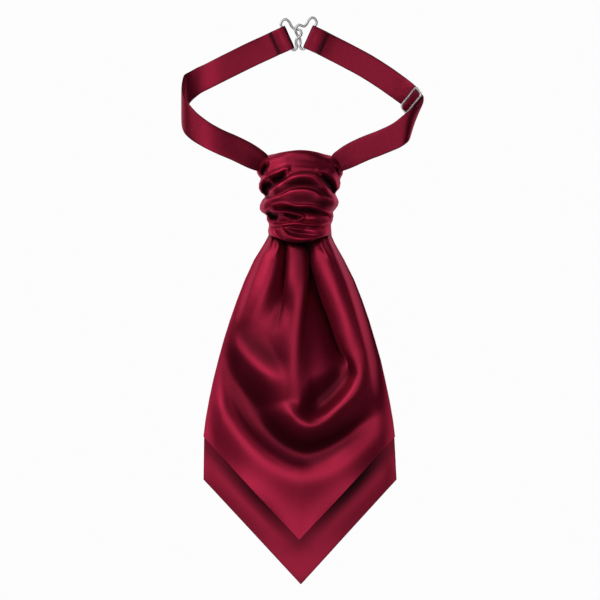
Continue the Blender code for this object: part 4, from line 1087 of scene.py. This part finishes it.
def make_turn_back(name, node, stations):
    middle, along, crosswise = end_axes(stations)
    pad = bmesh.new()
    bmesh.ops.create_cube(pad, size=1.0)
    for vert in pad.verts:
        place = middle + along * (vert.co.x + 0.5) * TURN_BACK_LENGTH + crosswise * vert.co.y * STRAP_WIDTH
        height = (vert.co.z + 0.5) * TURN_BACK_THICKNESS
        vert.co = ((place.x + MIDDLE_X) * MM, place.y * MM, height * MM)
    bmesh.ops.recalc_face_normals(pad, faces=pad.faces)
    upper = [edge for edge in pad.edges if max(v.co.z for v in edge.verts) > 0.5 * TURN_BACK_THICKNESS * MM]
    bmesh.ops.bevel(pad, geom=upper, offset=0.5 * MM, segments=4, profile=0.5, affect="EDGES", material=-1)
    cloth = pad.loops.layers.uv.new("cloth")
    for face in pad.faces:
        face.smooth = True
        for loop in face.loops:
            loop[cloth].uv = (loop.vert.co.x / MM, loop.vert.co.y / MM)
    return finish_piece(name, pad, satin, [node])


make_turn_back("strap-end-left", "strap_end_left", STRAP_LEFT)
make_turn_back("strap-end-right", "strap_end_right", STRAP_RIGHT_BACK)

# %% Zigzag stitches
STITCH_RADIUS = 0.34
STITCH_ZIG = 2.2
STITCH_COUNT = 13
STITCH_HEIGHT = 4.3


def add_stitches(name, stations):
    """A row of zigzag stitches across a strap, on its upper face, at the end of the turned-back layer."""
    middle, along, crosswise = end_axes(stations)
    points = []
    for i in range(STITCH_COUNT):
        share = (i / (STITCH_COUNT - 1) - 0.5) * 0.96
        zig = STITCH_ZIG * (0.5 if i % 2 else -0.5)
        place = middle + along * (TURN_BACK_LENGTH + 0.6 + zig) + crosswise * STRAP_WIDTH * share
        points.append((place.x, place.y, STITCH_HEIGHT))
    return add_wire(name, None, points, STITCH_RADIUS, False, stitch_thread)


# %% [markdown]
# The wire parts are round rods bent to shape. A poly curve with a round bevel is the quickest rod, and it is smooth
# when its points are close together.

# %% Wires
WIRE_RADIUS = 1.1
CLASP_EYE = (
    # x, y, z
    (-7.6, 203.4, 2.4), (-13.8, 217.4, 2.4), (-15.3, 221.0, 2.4), (-14.1, 223.8, 2.4), (-11.4, 225.0, 2.4),
    (-8.8, 223.1, 2.2), (-7.0, 220.0, 1.8), (-5.0, 217.8, 1.3), (-2.4, 217.1, 1.2), (0.2, 216.2, 2.0),
    (1.1, 214.0, 2.9), (0.0, 211.4, 3.2), (-2.4, 209.3, 3.1), (-3.2, 206.2, 2.6), (-2.4, 203.2, 2.4),
    (-3.5, 200.9, 2.4), (-5.6, 200.6, 2.4),
)
CLASP_HOOK = (
    # x, y, z
    (5.4, 205.6, 2.4), (11.6, 218.6, 2.4), (13.3, 222.2, 2.4), (12.0, 225.4, 2.4), (9.4, 226.3, 2.4),
    (7.0, 224.3, 2.4), (5.4, 221.3, 2.6), (3.2, 219.4, 2.9), (1.1, 220.0, 3.1), (-1.0, 220.4, 3.2),
    (-2.9, 218.6, 3.2), (-3.4, 215.6, 2.9), (-2.2, 212.6, 1.7), (-0.3, 209.9, 1.2), (0.3, 206.6, 1.4),
    (0.0, 203.6, 1.8), (1.2, 201.4, 2.2), (3.4, 201.6, 2.4),
)


def add_wire(name, node, points, radius, closed, material=nickel):
    data = bpy.data.curves.new(name, "CURVE")
    data.dimensions = "3D"
    data.bevel_depth = radius * MM
    data.bevel_resolution = 5
    data.use_fill_caps = not closed
    spline = data.splines.new("POLY")
    spline.points.add(len(points) - 1)
    for point, (x, y, z) in zip(spline.points, points):
        point.co = ((x + MIDDLE_X) * MM, y * MM, z * MM, 1.0)
    spline.use_cyclic_u = closed
    spline.use_smooth = True
    data.materials.append(material)
    wire = bpy.data.objects.new(name, data)
    bpy.context.scene.collection.objects.link(wire)
    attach(wire, "root")
    if node:
        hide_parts(node)
    print(name, "follows", len(points), "points")
    return wire


for name, node, table in (("clasp-eye", "clasp_eye", CLASP_EYE), ("clasp-hook", "clasp_hook", CLASP_HOOK)):
    add_wire(name, node, smooth_rows(table + table[:1], 8)[:-1], WIRE_RADIUS, True)


def make_slider():
    crosswise, along, _ = slider_axes()
    half_long = SLIDER_LENGTH / 2 - SLIDER_WIRE
    outline = []
    for corner in range(4):
        side = 1 if corner in (0, 3) else -1
        end = 1 if corner < 2 else -1
        turn_x = side * (half_long - SLIDER_CORNER_RADIUS)
        turn_y = end * (SLIDER_BAR_PITCH - SLIDER_CORNER_RADIUS)
        for angle in np.radians(np.linspace(corner * 90, corner * 90 + 90, 8)):
            across = turn_x + SLIDER_CORNER_RADIUS * math.cos(angle)
            down = turn_y + SLIDER_CORNER_RADIUS * math.sin(angle)
            outline.append(SLIDER_CENTRE + crosswise * across + along * down)
    add_wire("slider-frame", "slider_frame", outline, SLIDER_WIRE, True)
    reach = half_long - SLIDER_WIRE * 0.5
    bar = [SLIDER_CENTRE + crosswise * reach * share for share in (-1.0, 0.0, 1.0)]
    add_wire("slider-bar", "slider_bar", bar, SLIDER_WIRE, False)


make_slider()
add_stitches("stitches-left", STRAP_LEFT)
add_stitches("stitches-right", STRAP_RIGHT_BACK)
